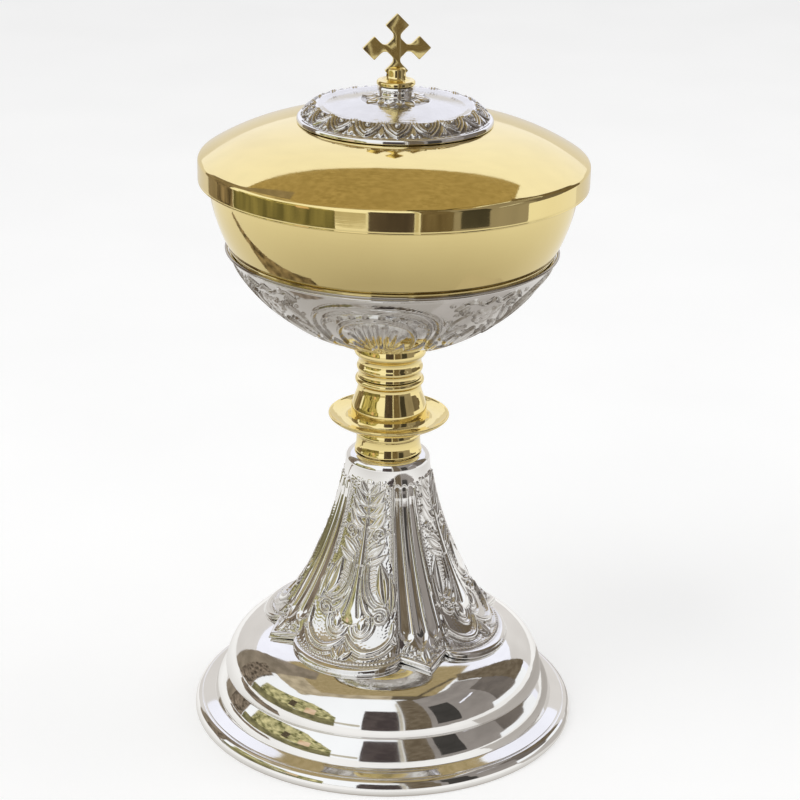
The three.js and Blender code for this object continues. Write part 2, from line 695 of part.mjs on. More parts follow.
function lidOutline() {
  const shares = [0.35, 0.55, 0.7, 0.82, 0.92];
  const outer = shares.map((s) => [s * lidRadius, lidTopAt(s * lidRadius)]);
  const seatInner = skirtInner - LID_SEAT_WIDTH;
  const inner = [0.3, 0.5, 0.68, 0.82].map((s) => [s * seatInner, lidTopAt(s * seatInner) - LID_WALL]);
  return [
    [studHole, lidTopAt(studHole)],
    ...outer,
    [lidRadius - LID_EDGE_ROUND, lidTopAt(lidRadius - LID_EDGE_ROUND) - 0.1],
    [lidRadius - LID_EDGE_ROUND * 0.3, lidEdge - LID_EDGE_ROUND * 0.3],
    [lidRadius, lidEdge - LID_EDGE_ROUND],
    [lidRadius, skirtBottom + 0.2],
    [lidRadius - 0.3, skirtBottom],
    [skirtInner, skirtBottom],
    [skirtInner, lidSeat],
    [seatInner, lidSeat],
    [seatInner, lidTopAt(seatInner) - LID_WALL],
    ...inner.reverse(),
    [studHole, lidTopAt(studHole) - LID_WALL],
  ];
}

addMesh('lid_shell', turned(lidOutline(), LARGE_SEGMENTS), gilt());

// Plaque

const plaqueSeat = lidTopAt(PLAQUE_RADIUS) + SEAT_GAP;
const plaqueRimTop = plaqueSeat + PLAQUE_RIM_HEIGHT;
const borderOuter = PLAQUE_RADIUS - PLAQUE_RIM_WIDTH;
const crestRadius = borderOuter - PLAQUE_BORDER_WIDTH;
const crestTop = plaqueRimTop + PLAQUE_BORDER_RISE;
const fieldRadius = crestRadius - PLAQUE_CREST_WIDTH;
const fieldEdge = crestTop - PLAQUE_CREST_DROP;
const rosetteRadius = FINIAL_COLLAR_RADIUS + ROSETTE_REACH;
const coneTop = fieldEdge + PLAQUE_CONE_RISE;
const hubTop = coneTop + PLAQUE_HUB_RISE;

function plaqueOutline(azimuth) {
  const arch = ARCH_RELIEF * (Math.cos(ARCH_COUNT * azimuth) * 0.5 - 0.5);
  const leaf = LEAF_RELIEF * (0.5 + 0.5 * Math.cos(LEAF_COUNT * azimuth));
  const border = (share, relief) => [
    lerp(borderOuter, crestRadius, share),
    lerp(plaqueRimTop, crestTop, share) + PLAQUE_BORDER_BULGE * Math.sin(Math.PI * share) + relief * arch,
  ];
  return [
    [studHole, hubTop],
    [FINIAL_COLLAR_RADIUS + 0.4, hubTop],
    [lerp(FINIAL_COLLAR_RADIUS, rosetteRadius, 0.55), lerp(hubTop, coneTop, 0.5) + leaf],
    [rosetteRadius, coneTop],
    [fieldRadius, fieldEdge],
    [lerp(fieldRadius, crestRadius, 0.7), lerp(fieldEdge, crestTop, 0.85)],
    [crestRadius, crestTop],
    border(0.7, 0.8),
    border(0.35, 1),
    border(0.08, 0.4),
    [borderOuter, plaqueRimTop],
    [PLAQUE_RADIUS - 0.4, plaqueRimTop],
    [PLAQUE_RADIUS, plaqueRimTop - PLAQUE_RIM_HEIGHT * 0.4],
    [PLAQUE_RADIUS, plaqueSeat],
    [PLAQUE_RADIUS * 0.6, lidTopAt(PLAQUE_RADIUS * 0.6) + SEAT_GAP],
    [studHole, lidTopAt(studHole) + SEAT_GAP],
  ];
}

addMesh('lid_plaque', shapedRing(plaqueOutline, evenAzimuths(PLAQUE_SEGMENTS)), silver());

// Finial

const finialCollarBottom = hubTop + SEAT_GAP;
const finialCollarTop = finialCollarBottom + FINIAL_COLLAR_HEIGHT;
const knobBottom = finialCollarTop + SEAT_GAP;
const flangeTop = knobBottom + FINIAL_FLANGE_HEIGHT;
const knobTop = flangeTop + KNOB_HEIGHT;
const slotBottom = knobTop - KNOB_SLOT_DEPTH;
const crossTurn = THREE.MathUtils.degToRad(CROSS_TURN_DEG);

function finialCollarOutline() {
  return [
    [studHole, finialCollarBottom],
    [FINIAL_COLLAR_RADIUS, finialCollarBottom],
    [FINIAL_COLLAR_RADIUS - 0.3, lerp(finialCollarBottom, finialCollarTop, 0.4)],
    [FINIAL_COLLAR_RADIUS, finialCollarTop],
    [studHole, finialCollarTop],
  ];
}

function knobOutline() {
  const studTop = knobBottom + STUD_BITE;
  const shoulder = knobTop - KNOB_DOME_HEIGHT;
  return [
    [studHole, knobBottom],
    [FINIAL_COLLAR_RADIUS + 0.15, knobBottom],
    [FINIAL_COLLAR_RADIUS + 0.15, flangeTop - 0.3],
    [FINIAL_COLLAR_RADIUS - 0.4, flangeTop],
    [KNOB_RADIUS + 0.6, flangeTop + 0.1],
    [KNOB_RADIUS, flangeTop + 0.8],
    [KNOB_RADIUS, shoulder],
    [KNOB_RADIUS * 0.8, lerp(shoulder, knobTop, 0.6)],
    [0, knobTop],
    [0, studTop + SEAT_GAP],
    [studHole, studTop + SEAT_GAP],
  ];
}

function finialKnob() {
  const body = toSolid(turned(knobOutline(), SMALL_SEGMENTS));
  const width = CROSS_THICKNESS + 2 * SEAT_GAP;
  const cutter = new THREE.BoxGeometry(4 * KNOB_RADIUS, width, 2 * KNOB_SLOT_DEPTH);
  cutter.translate(0, 0, slotBottom + KNOB_SLOT_DEPTH);
  cutter.rotateZ(crossTurn);
  return toGeometry(body.subtract(toSolid(cutter)));
}

addMesh(
  'finial_collar',
  turned(finialCollarOutline(), SMALL_SEGMENTS),
  silver(),
);
addMesh('finial_knob', finialKnob(), gilt());

// Cross

// One arm's right-hand profile, from the middle outwards, as [across, along] points.
function armPoints() {
  const endCentre = CROSS_REACH - CROSS_DIAMOND;
  return [
    [CROSS_NECK, CROSS_CENTRE - CROSS_NECK],
    [CROSS_NECK, endCentre - (CROSS_DIAMOND - CROSS_NECK)],
    [CROSS_DIAMOND, endCentre],
    [0, CROSS_REACH],
  ];
}

// The lower arm is cut flat where it stands in the knob's slot.
function crossPoints(centre) {
  const right = armPoints();
  const left = right.slice(0, 3).reverse().map(([x, z]) => [-x, z]);
  const arm = [...right, ...left];
  const turn = ([x, z], quarter) => {
    const angle = (quarter * Math.PI) / 2;
    return [x * Math.cos(angle) - z * Math.sin(angle), x * Math.sin(angle) + z * Math.cos(angle)];
  };
  const upper = [3, 0, 1].flatMap((quarter) => arm.map((p) => turn(p, quarter)));
  const cut = slotBottom + SEAT_GAP - centre;
  const endCentre = CROSS_REACH - CROSS_DIAMOND;
  const cutHalf = CROSS_DIAMOND - (-cut - endCentre);
  const lower = [
    ...right.slice(0, 3).map((p) => turn(p, 2)),
    [-cutHalf, cut],
    [cutHalf, cut],
    ...left.map((p) => turn(p, 2)),
  ];
  return [...upper, ...lower].map(([x, z]) => [x, z + centre]);
}

const crossCentre = knobTop + CROSS_LIFT;
const crossPlate = uprightPlate(crossPoints(crossCentre), CROSS_THICKNESS);
crossPlate.rotateZ(crossTurn);
addMesh('cross', crossPlate, gilt());

// Stud, washer and nut inside the lid

const lidWasherTop = lidTopAt(studHole) - LID_WALL - SEAT_GAP;
const lidWasherBottom = lidWasherTop - LID_WASHER_THICKNESS;
const lidNutBottom = lidWasherBottom - SEAT_GAP - LID_NUT_HEIGHT;

function studOutline() {
  return [
    [0, lidNutBottom - STUD_END],
    [STUD_RADIUS, lidNutBottom - STUD_END],
    [STUD_RADIUS, knobBottom + STUD_BITE],
    [0, knobBottom + STUD_BITE],
  ];
}

addMesh('lid_stud', turned(studOutline(), SMALL_SEGMENTS), brass());
addMesh(
  'lid_washer',
  turned(washerOutline(studHole, LID_WASHER_RADIUS, lidWasherBottom, lidWasherTop), SMALL_SEGMENTS),
  brass(),
);
addMesh('lid_nut', hexNut(LID_NUT_FLATS, studHole, LID_NUT_HEIGHT, lidNutBottom), brass());

export default group;
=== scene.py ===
"""Dresses a gilt and silvered ciborium: turned parts, pressed ornament, metals, room and camera.

Outlines and ornament are written in millimetres, and azimuths in degrees: 0 faces -Y and grows towards +X.
"""

import math

import bmesh
import bpy
import numpy as np
from mathutils import Matrix, Vector

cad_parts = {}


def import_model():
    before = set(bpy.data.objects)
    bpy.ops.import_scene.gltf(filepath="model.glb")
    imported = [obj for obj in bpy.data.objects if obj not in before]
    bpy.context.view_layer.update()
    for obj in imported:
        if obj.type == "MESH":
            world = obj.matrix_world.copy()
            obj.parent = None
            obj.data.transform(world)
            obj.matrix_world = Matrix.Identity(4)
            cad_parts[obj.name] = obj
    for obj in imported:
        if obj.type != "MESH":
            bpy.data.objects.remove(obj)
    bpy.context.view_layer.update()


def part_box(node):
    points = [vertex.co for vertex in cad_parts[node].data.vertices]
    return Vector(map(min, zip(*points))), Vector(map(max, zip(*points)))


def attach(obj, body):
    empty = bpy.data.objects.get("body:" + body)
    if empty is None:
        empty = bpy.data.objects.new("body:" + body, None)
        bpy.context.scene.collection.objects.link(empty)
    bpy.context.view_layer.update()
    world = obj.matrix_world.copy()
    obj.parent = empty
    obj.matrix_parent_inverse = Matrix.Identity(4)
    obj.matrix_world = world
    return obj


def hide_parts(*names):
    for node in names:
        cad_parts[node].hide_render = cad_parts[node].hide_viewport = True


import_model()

MM = 0.001
# Space between neighbouring pieces
GAP = 0.3

# Ornament grids: columns round the axis, rows along the profile
TRUMPET_COLUMNS = 960
TRUMPET_ROWS = 270
CALYX_COLUMNS = 720
CALYX_ROWS = 130
PLAQUE_COLUMNS = 576
PLAQUE_ROWS = 110
TURNED_SEGMENTS = 192
SMALL_SEGMENTS = 96

# Camera, from the photograph
CAMERA_PLACE = (4.033, -771.372, 420.864)
CAMERA_RIGHT = (0.99972, 0.00844, 0.02206)
CAMERA_UP = (-0.02361, 0.35719, 0.93373)
CAMERA_BACK = (0.0, -0.93399, 0.35730)
CAMERA_LENS = 100.13
CAMERA_SENSOR = 36.0

# Metals, as linear colours
# Each deep colour tones its metal at random; on the embossed silver, whose hollows are marked, it also stands
# for tarnish together with painted shade
GILT = (0.92, 0.775, 0.37)
GILT_DEEP = (0.55, 0.33, 0.08)
SILVER = (0.90, 0.895, 0.885)
SILVER_DEEP = (0.24, 0.205, 0.16)
PLAQUE_DEEP = (0.18, 0.15, 0.115)
# Darker silver for the beading wire: painted shade along it
WIRE_SHADED = (0.42, 0.39, 0.35)
BRASS = (0.62, 0.46, 0.20)
BRASS_DEEP = (0.25, 0.17, 0.07)


# Levels of the fixed frame

def levels(node):
    """Bottom, top and largest radius of a CAD node, in millimetres."""
    low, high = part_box(node)
    return low.z / MM, high.z / MM, max(high.x, high.y) / MM


def blend(a, b, share):
    return a + (b - a) * share


# Meshes from rings of points

def add_object(name, data):
    made = bpy.data.objects.new(name, data)
    bpy.context.scene.collection.objects.link(made)
    return made


def add_piece(mesh, node, body, material):
    """Puts a mesh in the scene as the dressed form of one CAD node."""
    mesh.materials.append(material)
    piece = add_object(mesh.name, mesh)
    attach(piece, body)
    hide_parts(node)


def mesh_from(name, points, quads, triangles):
    """A smooth mesh in metres, turned so that its faces look outwards."""
    a, b, c, d = (points[quads[:, i]] for i in range(4))
    volume = np.einsum("ij,ij->", a, np.cross(b, c)) + np.einsum("ij,ij->", a, np.cross(c, d))
    if len(triangles):
        a, b, c = (points[triangles[:, i]] for i in range(3))
        volume += np.einsum("ij,ij->", a, np.cross(b, c))
    if volume < 0:
        quads = quads[:, ::-1]
        triangles = triangles[:, ::-1]
    corners = np.concatenate([quads.ravel(), triangles.ravel()]).astype(np.int32)
    quad_starts = np.arange(len(quads)) * 4
    triangle_starts = len(quads) * 4 + np.arange(len(triangles)) * 3
    starts = np.concatenate([quad_starts, triangle_starts]).astype(np.int32)
    mesh = bpy.data.meshes.new(name)
    mesh.vertices.add(len(points))
    mesh.vertices.foreach_set("co", (points * MM).ravel())
    mesh.loops.add(len(corners))
    mesh.loops.foreach_set("vertex_index", corners)
    mesh.polygons.add(len(starts))
    mesh.polygons.foreach_set("loop_start", starts)
    mesh.polygons.foreach_set("use_smooth", np.ones(len(starts), bool))
    mesh.update(calc_edges=True)
    mesh.validate()
    return mesh


def skin_mesh(name, rings):
    """Joins rings of equal length, and the last to the first, into one closed skin."""
    rows, columns = rings.shape[:2]
    index = np.arange(rows * columns).reshape(rows, columns)
    up = np.roll(index, -1, 0)
    quads = np.stack([index, np.roll(index, -1, 1), np.roll(up, -1, 1), up], -1).reshape(-1, 4)
    return mesh_from(name, rings.reshape(-1, 3), quads, np.zeros((0, 3), int))


def capped_mesh(name, rings, first, last):
    """Joins rings into a skin that closes in a point on the axis at each end."""
    rows, columns = rings.shape[:2]
    index = np.arange(rows * columns).reshape(rows, columns)
    low, up = index[:-1], index[1:]
    quads = np.stack([low, np.roll(low, -1, 1), np.roll(up, -1, 1), up], -1).reshape(-1, 4)
    points = np.vstack([rings.reshape(-1, 3), [[0, 0, first], [0, 0, last]]])
    start, end = index[0], index[-1]
    pole = np.full(columns, rows * columns)
    fans = [
        np.stack([pole, np.roll(start, -1), start], -1),
        np.stack([pole + 1, end, np.roll(end, -1)], -1),
    ]
    return mesh_from(name, points, quads, np.vstack(fans))


def round_points(radius, azimuth, height):
    """Points at radii, azimuths in radians and heights."""
    return np.stack([radius * np.sin(azimuth), -radius * np.cos(azimuth), height], -1)


def azimuths(columns):
    return np.arange(columns) * 2 * np.pi / columns


def level_ring(radius, height, around):
    """A ring at one height, with one radius or one for each azimuth."""
    return round_points(np.broadcast_to(radius, around.shape), around, np.full_like(around, height))


def plain_rings(outline, columns):
    return [level_ring(r, z, azimuths(columns)) for r, z in outline]


def grid(profile, columns):
    """An outer profile turned into a grid of skin points."""
    return round_points(profile[:, :1], azimuths(columns)[None], np.repeat(profile[:, 1:], columns, 1))


def run_length(points):
    """Length along a path up to each of its points."""
    return np.concatenate([[0], np.cumsum(np.hypot(*np.diff(points, axis=0).T))])


def lifted(low, outline):
    """The outline with its heights counted from a level."""
    return [(r, low + z) for r, z in outline]


def dome(distance):
    """Height of a rounded form: 1 at its middle and 0 where the distance reaches 1."""
    return np.sqrt(np.clip(1 - distance ** 2, 0, 1))


def even_steps(outline, closed, step):
    """The outline as closely and evenly spaced points."""
    points = np.array(outline, float)
    if closed:
        points = np.vstack([points, points[:1]])
    length = run_length(points)
    at = np.linspace(0, length[-1], max(8, int(length[-1] / step)) + 1)
    return np.stack([np.interp(at, length, points[:, i]) for i in range(2)], -1)


def soften(outline, radius=0.22, closed=False, turn=2.5, stride=1.6):
    """Rounds the corners of an outline, then keeps only the points that its bends need."""
    step = 0.04
    points = even_steps(outline, closed, step)
    reach = max(2, int(3 * radius / step))
    weights = np.exp(-0.5 * (np.arange(-reach, reach + 1) * step / radius) ** 2)
    weights /= weights.sum()
    if closed:
        ring = points[:-1]
        padded = np.vstack([ring[-reach:], ring, ring[:reach]])
    else:
        start = 2 * points[0] - points[reach:0:-1]
        end = 2 * points[-1] - points[-2:-reach - 2:-1]
        padded = np.vstack([start, points, end])
    smooth = np.stack([np.convolve(padded[:, i], weights, "valid") for i in range(2)], -1)
    heading = np.unwrap(np.arctan2(*np.diff(smooth, axis=0).T[::-1]))
    bend = np.concatenate([[0], np.abs(np.diff(heading)), [0]])[:len(smooth)]
    need = np.cumsum(bend / math.radians(turn) + step / stride)
    keep = np.unique(np.floor(need), return_index=True)[1]
    if not closed:
        keep = np.union1d(keep, [0, len(smooth) - 1])
    return smooth[keep]


def turned_mesh(name, outline, segments=TURNED_SEGMENTS, radius=0.22):
    """Turns an outline of [radius, height] points; it ends on the axis or closes on itself."""
    on_axis = outline[0][0] == 0
    points = soften(outline, radius, closed=not on_axis)
    if on_axis:
        return capped_mesh(name, grid(points[1:-1], segments), points[0][1], points[-1][1])
    return skin_mesh(name, grid(points, segments))


def set_attribute(mesh, name, values):
    """Stores one number for each point, for the materials to read."""
    layer = mesh.attributes.new(name, "FLOAT", "POINT")
    layer.data.foreach_set("value", np.asarray(values, np.float32).ravel())


# Embossing: ridges, leaves and beads raised on a skin with flat coordinates

def smooth_path(points, count=14):
    """A soft curve through a few points, in any number of columns."""
    points = np.array(points, float)
    padded = np.vstack([2 * points[0] - points[1], points, 2 * points[-1] - points[-2]])
    pieces = []
    for p0, p1, p2, p3 in zip(padded, padded[1:], padded[2:], padded[3:]):
        t = np.linspace(0, 1, max(3, count // (len(points) - 1)), endpoint=False)[:, None]
        pieces.append(0.5 * (2 * p1 + (p2 - p0) * t + (2 * p0 - 5 * p1 + 4 * p2 - p3) * t ** 2
                             + (3 * p1 - p0 - 3 * p2 + p3) * t ** 3))
    return np.vstack(pieces + [points[-1:]])


class Relief:
    """Heights of an embossed pattern over points with flat coordinates x and y."""

    def __init__(self, x, y, place):
        self.x = x
        self.y = y
        self.place = place
        self.height = np.zeros_like(x)

    def add(self, heights):
        self.height = np.maximum(self.height, heights)

    def along(self, path):
        """Share of the way along a path, and distance from it, for every point."""
        run = run_length(path)
        share = np.zeros_like(self.x)
        distance = np.full_like(self.x, 1e6)
        for i, (a, b) in enumerate(zip(path, path[1:])):
            d = b - a
            size = d @ d + 1e-12
            t = np.clip(((self.x - a[0]) * d[0] + (self.y - a[1]) * d[1]) / size, 0, 1)
            away = np.hypot(self.x - a[0] - t * d[0], self.y - a[1] - t * d[1])
            closer = away < distance
            distance = np.where(closer, away, distance)
            share = np.where(closer, (run[i] + t * (run[i + 1] - run[i])) / run[-1], share)
        return share, distance

    def ridge(self, points, width, height):
        """A rounded line; width may be one half width or one for each point."""
        widths = np.broadcast_to(width, len(points))
        placed = np.array([self.place(*p) for p in points])
        path = smooth_path(np.column_stack([placed, widths]))
        share, distance = self.along(path[:, :2])
        run = run_length(path[:, :2])
        half = np.interp(share, run / run[-1], path[:, 2])
        self.add(height * dome(distance / half))

    def leaf(self, points, width, height):
        """A blade with a sunk midrib, widest below its middle and pointed at its tip."""
        path = smooth_path([self.place(*p) for p in points], 10)
        share, distance = self.along(path)
        half = width * np.sin(np.pi * np.clip(share, 0.02, 0.99) ** 0.8) + 0.05
        rib = 1 - 0.5 * np.exp(-(distance / (0.25 * half)) ** 2)
        self.add(height * dome(distance / half) * rib)

    def bead(self, place, across, along, height):
        x, y = self.place(*place)
        self.add(height * dome(np.hypot((self.x - x) / across, (self.y - y) / along)))

    def curl(self, place, radius, turns, start, width, height, sense=1):
        """A spiral that winds in from its outer end."""
        x, y = self.place(*place)
        t = np.linspace(0, 1, 26)
        angle = math.radians(start) + sense * 2 * np.pi * turns * t
        r = radius * (1 - 0.85 * t)
        path = np.stack([x + r * np.cos(angle), y + r * np.sin(angle)], -1)
        _, distance = self.along(path)
        self.add(height * dome(distance / width))

    def groove(self, points, width, depth):
        path = smooth_path([self.place(*p) for p in points], 10)
        _, distance = self.along(path)
        self.height = self.height - depth * np.clip(1 - (distance / width) ** 2, 0, 1)


def outlines(pattern):
    """Share of each point at the foot of the embossed forms, where they rise steeply; the materials darken it
    with tarnish and painted shade.
    """
    steep = np.hypot(*np.gradient(pattern))
    return np.clip(steep / np.quantile(steep, 0.97), 0, 1) ** 1.5


def raised(points, height):
    """Moves a grid of skin points out along its own normals."""
    down = np.gradient(points, axis=0)
    round_ = np.roll(points, -1, 1) - np.roll(points, 1, 1)
    normal = np.cross(round_, down)
    normal /= np.linalg.norm(normal, axis=2, keepdims=True) + 1e-12
    outward = points * (1, 1, 0)
    if (normal * outward).sum() < 0:
        normal = -normal
    return points + normal * height[..., None]


# Materials

def node(tree, kind, inputs=None, **settings):
    made = tree.nodes.new(kind)
    for key, value in settings.items():
        setattr(made, key, value)
    for key, value in (inputs or {}).items():
        if isinstance(value, bpy.types.NodeSocket):
            tree.links.new(value, made.inputs[key])
        else:
            made.inputs[key].default_value = value
    return made


def rgba(colour):
    return (*colour, 1.0)


def noise(tree, scale, detail=3.0, stretch=(1, 1, 1)):
    where = node(tree, "ShaderNodeTexCoord").outputs["Object"]
    placed = node(tree, "ShaderNodeMapping", {"Vector": where, "Scale": stretch})
    made = node(tree, "ShaderNodeTexNoise", {"Vector": placed.outputs[0], "Scale": scale, "Detail": detail})
    return made.outputs["Fac"]


def ranged(tree, value, low, high, start=0.3, end=0.7):
    inputs = {"Value": value, "From Min": start, "From Max": end, "To Min": low, "To Max": high}
    return node(tree, "ShaderNodeMapRange", inputs).outputs[0]


def mixed(tree, factor, a, b):
    return node(tree, "ShaderNodeMix", {0: factor, 6: a, 7: b}, data_type="RGBA").outputs[2]


def calc(tree, operation, *values):
    return node(tree, "ShaderNodeMath", dict(enumerate(values)), operation=operation).outputs[0]


def bump(tree, height, strength, distance, under=None):
    inputs = {"Height": height, "Strength": strength, "Distance": distance}
    if under is not None:
        inputs["Normal"] = under
    return node(tree, "ShaderNodeBump", inputs).outputs[0]


def emission(tree, colour, strength=1.0):
    return node(tree, "ShaderNodeEmission", {"Color": colour, "Strength": strength}).outputs[0]


def new_material(name):
    material = bpy.data.materials.new(name)
    material.use_nodes = True
    tree = material.node_tree
    tree.nodes.clear()
    output = node(tree, "ShaderNodeOutputMaterial")
    return material, tree, output


def metal(name, colour, deep, polish=(0.03, 0.09), grain=0.0, satin=0.3, shade_and_stain=1.0, dull=0.22):
    """Polished metal: smears in its gloss, faint turning lines, and hollows that are duller and darker, with
    tarnish and painted shade.
    """
    material, tree, output = new_material(name)
    hollow = node(tree, "ShaderNodeAttribute", attribute_name="hollow").outputs["Fac"]
    brushed = node(tree, "ShaderNodeAttribute", attribute_name="satin").outputs["Fac"]
    warm = mixed(tree, ranged(tree, noise(tree, 28.0, 4.0), 0.0, 0.12), rgba(colour), rgba(deep))
    # Tarnish together with painted shade: the hollow attribute darkens the colour towards the deep colour
    tarnish_and_shade = calc(tree, "MULTIPLY", hollow, ranged(tree, noise(tree, 160.0), 0.55 * shade_and_stain, shade_and_stain))
    tinted = mixed(tree, tarnish_and_shade, warm, rgba(deep))
    smear = ranged(tree, noise(tree, 55.0, 5.0), *polish)
    rough = node(tree, "ShaderNodeMix", {0: brushed, 2: smear, 3: satin}).outputs[0]
    rougher = calc(tree, "MULTIPLY_ADD", hollow, dull, rough)
    soft = bump(tree, noise(tree, 90.0, 2.0), 0.05, 0.0004)
    turned = bump(tree, noise(tree, 300.0, 2.0, (0.15, 0.15, 6.0)), 0.04, 0.0001, soft)
    punched = bump(tree, noise(tree, 750.0), calc(tree, "MULTIPLY", hollow, grain), 0.0004, turned)
    shader = node(tree, "ShaderNodeBsdfPrincipled", {
        "Base Color": tinted, "Metallic": 1.0, "Roughness": rougher, "Normal": punched})
    tree.links.new(shader.outputs[0], output.inputs[0])
    return material


gilt = metal("gilt_polish", GILT, GILT_DEEP)
gilt_cross = metal("gilt_cross_face", GILT, GILT_DEEP, polish=(0.08, 0.18))
silver = metal("silver_polish", SILVER, SILVER_DEEP)
embossed = metal("silver_embossed", SILVER, SILVER_DEEP, (0.03, 0.08), grain=0.35, shade_and_stain=0.6, dull=0.05)
chased_silver = metal("silver_chased", SILVER, SILVER_DEEP, grain=0.2, dull=0.08)
wire_silver_shaded = metal("silver_wire_painted_shade", WIRE_SHADED, SILVER_DEEP)
plaque_silver = metal("silver_plaque", SILVER, PLAQUE_DEEP, (0.04, 0.1), grain=0.7, satin=0.09, dull=0.14)
brass = metal("brass_fixing", BRASS, BRASS_DEEP, polish=(0.22, 0.38), grain=0.4)


# Foot

foot_bottom, crown_top, foot_radius = levels("base_foot")
FOOT_WALL = 1.1
ROD_HOLE = 2.9
LEDGE_EDGE = foot_radius - 2.5
STEP_OUTER = LEDGE_EDGE - 5.3
DOME_RADIUS = STEP_OUTER - 4.3
RIM_HEIGHT = 5.6
STEP_BOTTOM = RIM_HEIGHT + 1.6
DOME_BOTTOM = STEP_BOTTOM + 9.9
DOME_SUNK = DOME_BOTTOM - 3.7
DOME_SPREAD = 4
DOME_FULLNESS = 0.42


def foot_top(r, inset=0.0):
    share = np.minimum(np.asarray(r, float) / (DOME_RADIUS + 0.4 - inset), 1)
    return DOME_SUNK + (crown_top - DOME_SUNK - inset) * (1 - share ** DOME_SPREAD) ** DOME_FULLNESS


def foot_step(inset):
    t = np.linspace(0, 1, 14)
    r = blend(DOME_RADIUS, STEP_OUTER, t) + 0.8 * np.sin(np.pi * t) - inset
    return list(zip(r, blend(DOME_BOTTOM - 0.4, STEP_BOTTOM, t) - inset * 0.25))


def foot_outline():
    shares = np.sin(np.linspace(0.08, 0.5, 46) * np.pi)
    edge = DOME_RADIUS + 0.2
    outer = [(s * edge, float(foot_top(s * edge))) for s in shares]
    radius = DOME_RADIUS - FOOT_WALL
    inner = [(s * radius, float(foot_top(s * radius, FOOT_WALL))) for s in shares[:-1:3]]
    ring_inner = foot_radius - 3.6
    return [
        (ROD_HOLE, crown_top), (8, crown_top), *outer,
        (DOME_RADIUS - 0.5, DOME_BOTTOM + 0.05), (DOME_RADIUS - 0.5, DOME_BOTTOM - 0.2),
        *foot_step(0),
        (LEDGE_EDGE - 0.8, RIM_HEIGHT + 0.22), (LEDGE_EDGE - 0.55, RIM_HEIGHT - 0.02),
        (LEDGE_EDGE - 0.2, RIM_HEIGHT + 0.06), (LEDGE_EDGE + 0.2, RIM_HEIGHT),
        (LEDGE_EDGE + 0.6, RIM_HEIGHT - 0.25), (LEDGE_EDGE + 1.2, RIM_HEIGHT - 0.7),
        (LEDGE_EDGE + 1.8, RIM_HEIGHT - 1.5), (LEDGE_EDGE + 2.2, RIM_HEIGHT - 2.4),
        (foot_radius - 0.05, RIM_HEIGHT - 3.4), (foot_radius, RIM_HEIGHT - 4.2),
        (foot_radius - 0.05, foot_bottom + 0.6), (foot_radius - 0.4, foot_bottom),
        (ring_inner, foot_bottom), (ring_inner, RIM_HEIGHT - FOOT_WALL),
        *foot_step(FOOT_WALL)[::-1],
        *inner[::-1],
        (8, crown_top - FOOT_WALL), (ROD_HOLE, crown_top - FOOT_WALL),
    ]


add_piece(turned_mesh("foot_spun", foot_outline(), radius=0.13), "base_foot", "vessel", silver)


# Trumpet stem

_, trumpet_top, _ = levels("trumpet_stem")
SHOULDER_DROP = 3.1
SHOULDER_REACH = 3.2
TRUMPET_NECK = trumpet_top - SHOULDER_DROP
TRUMPET_TOP_RADIUS = 15.8
TRUMPET_FLARE = 24.8
TRUMPET_WALL = 1.2
FLARE_BEND = 1.6
EDGE_BEND = 12
LOBE_REACH = 48.3
TIP_REACH = 47.0
NOTCH_REACH = 39.7
SECTOR = math.pi / 2
FIRST_CORNER = math.radians(22.5)
CORNER_HALF = math.radians(13.5)
FACE_HALF = SECTOR / 2 - CORNER_HALF
FLUTE_DEPTH = 0.95
FLUTE_TOP = 0.075
FLUTE_END = 0.9


def from_corner(azimuth):
    turns = (azimuth - FIRST_CORNER) / SECTOR
    return (turns - np.round(turns)) * SECTOR


def edge_reach(azimuth):
    angle = np.abs(from_corner(azimuth))
    tip = blend(NOTCH_REACH, TIP_REACH, np.clip(1 - angle / CORNER_HALF, 0, 1) ** 1.2)
    across = np.clip((SECTOR / 2 - angle) / FACE_HALF, 0, 1)
    lobe = blend(NOTCH_REACH, LOBE_REACH, np.sqrt(1 - across ** 2))
    return np.where(angle < CORNER_HALF, tip, lobe)


def trumpet_swell(azimuth, t):
    """Corners stand out, and three flutes with round ends are cut in each."""
    angle = from_corner(azimuth)
    swell = 0.8 * np.cos(2 * np.pi * angle / SECTOR) * np.clip((1 - t) / 0.15, 0, 1)
    across = np.abs(((angle + CORNER_HALF) / (2 * CORNER_HALF) * 3) % 1 * 2 - 1)
    scoop = np.clip(1 - across ** 5, 0, 1)
    low_end = np.clip((FLUTE_END - 0.035 * across ** 2 - t) / 0.03, 0, 1)
    high_end = np.clip((t - FLUTE_TOP - 0.018 * across ** 2) / 0.012, 0, 1)
    flutes = np.where(np.abs(angle) < CORNER_HALF, FLUTE_DEPTH * scoop * np.sqrt(low_end * high_end), 0)
    return np.clip(t / 0.15, 0, 1) * swell - np.clip(t / 0.2, 0.55, 1) * flutes


def flared(t, reach):
    """Radius a share t down the stem, for a lower edge that reaches so far out."""
    curl = reach - TRUMPET_TOP_RADIUS - TRUMPET_FLARE
    return TRUMPET_TOP_RADIUS + TRUMPET_FLARE * t ** FLARE_BEND + curl * t ** EDGE_BEND


def trumpet_skin(azimuth, t, relief=True):
    reach = edge_reach(azimuth)
    radius = flared(t, reach)
    if relief:
        radius = radius + trumpet_swell(azimuth, t)
    edge_top = foot_top(reach) + GAP + TRUMPET_WALL * 0.8
    return radius, blend(TRUMPET_NECK, edge_top, t)


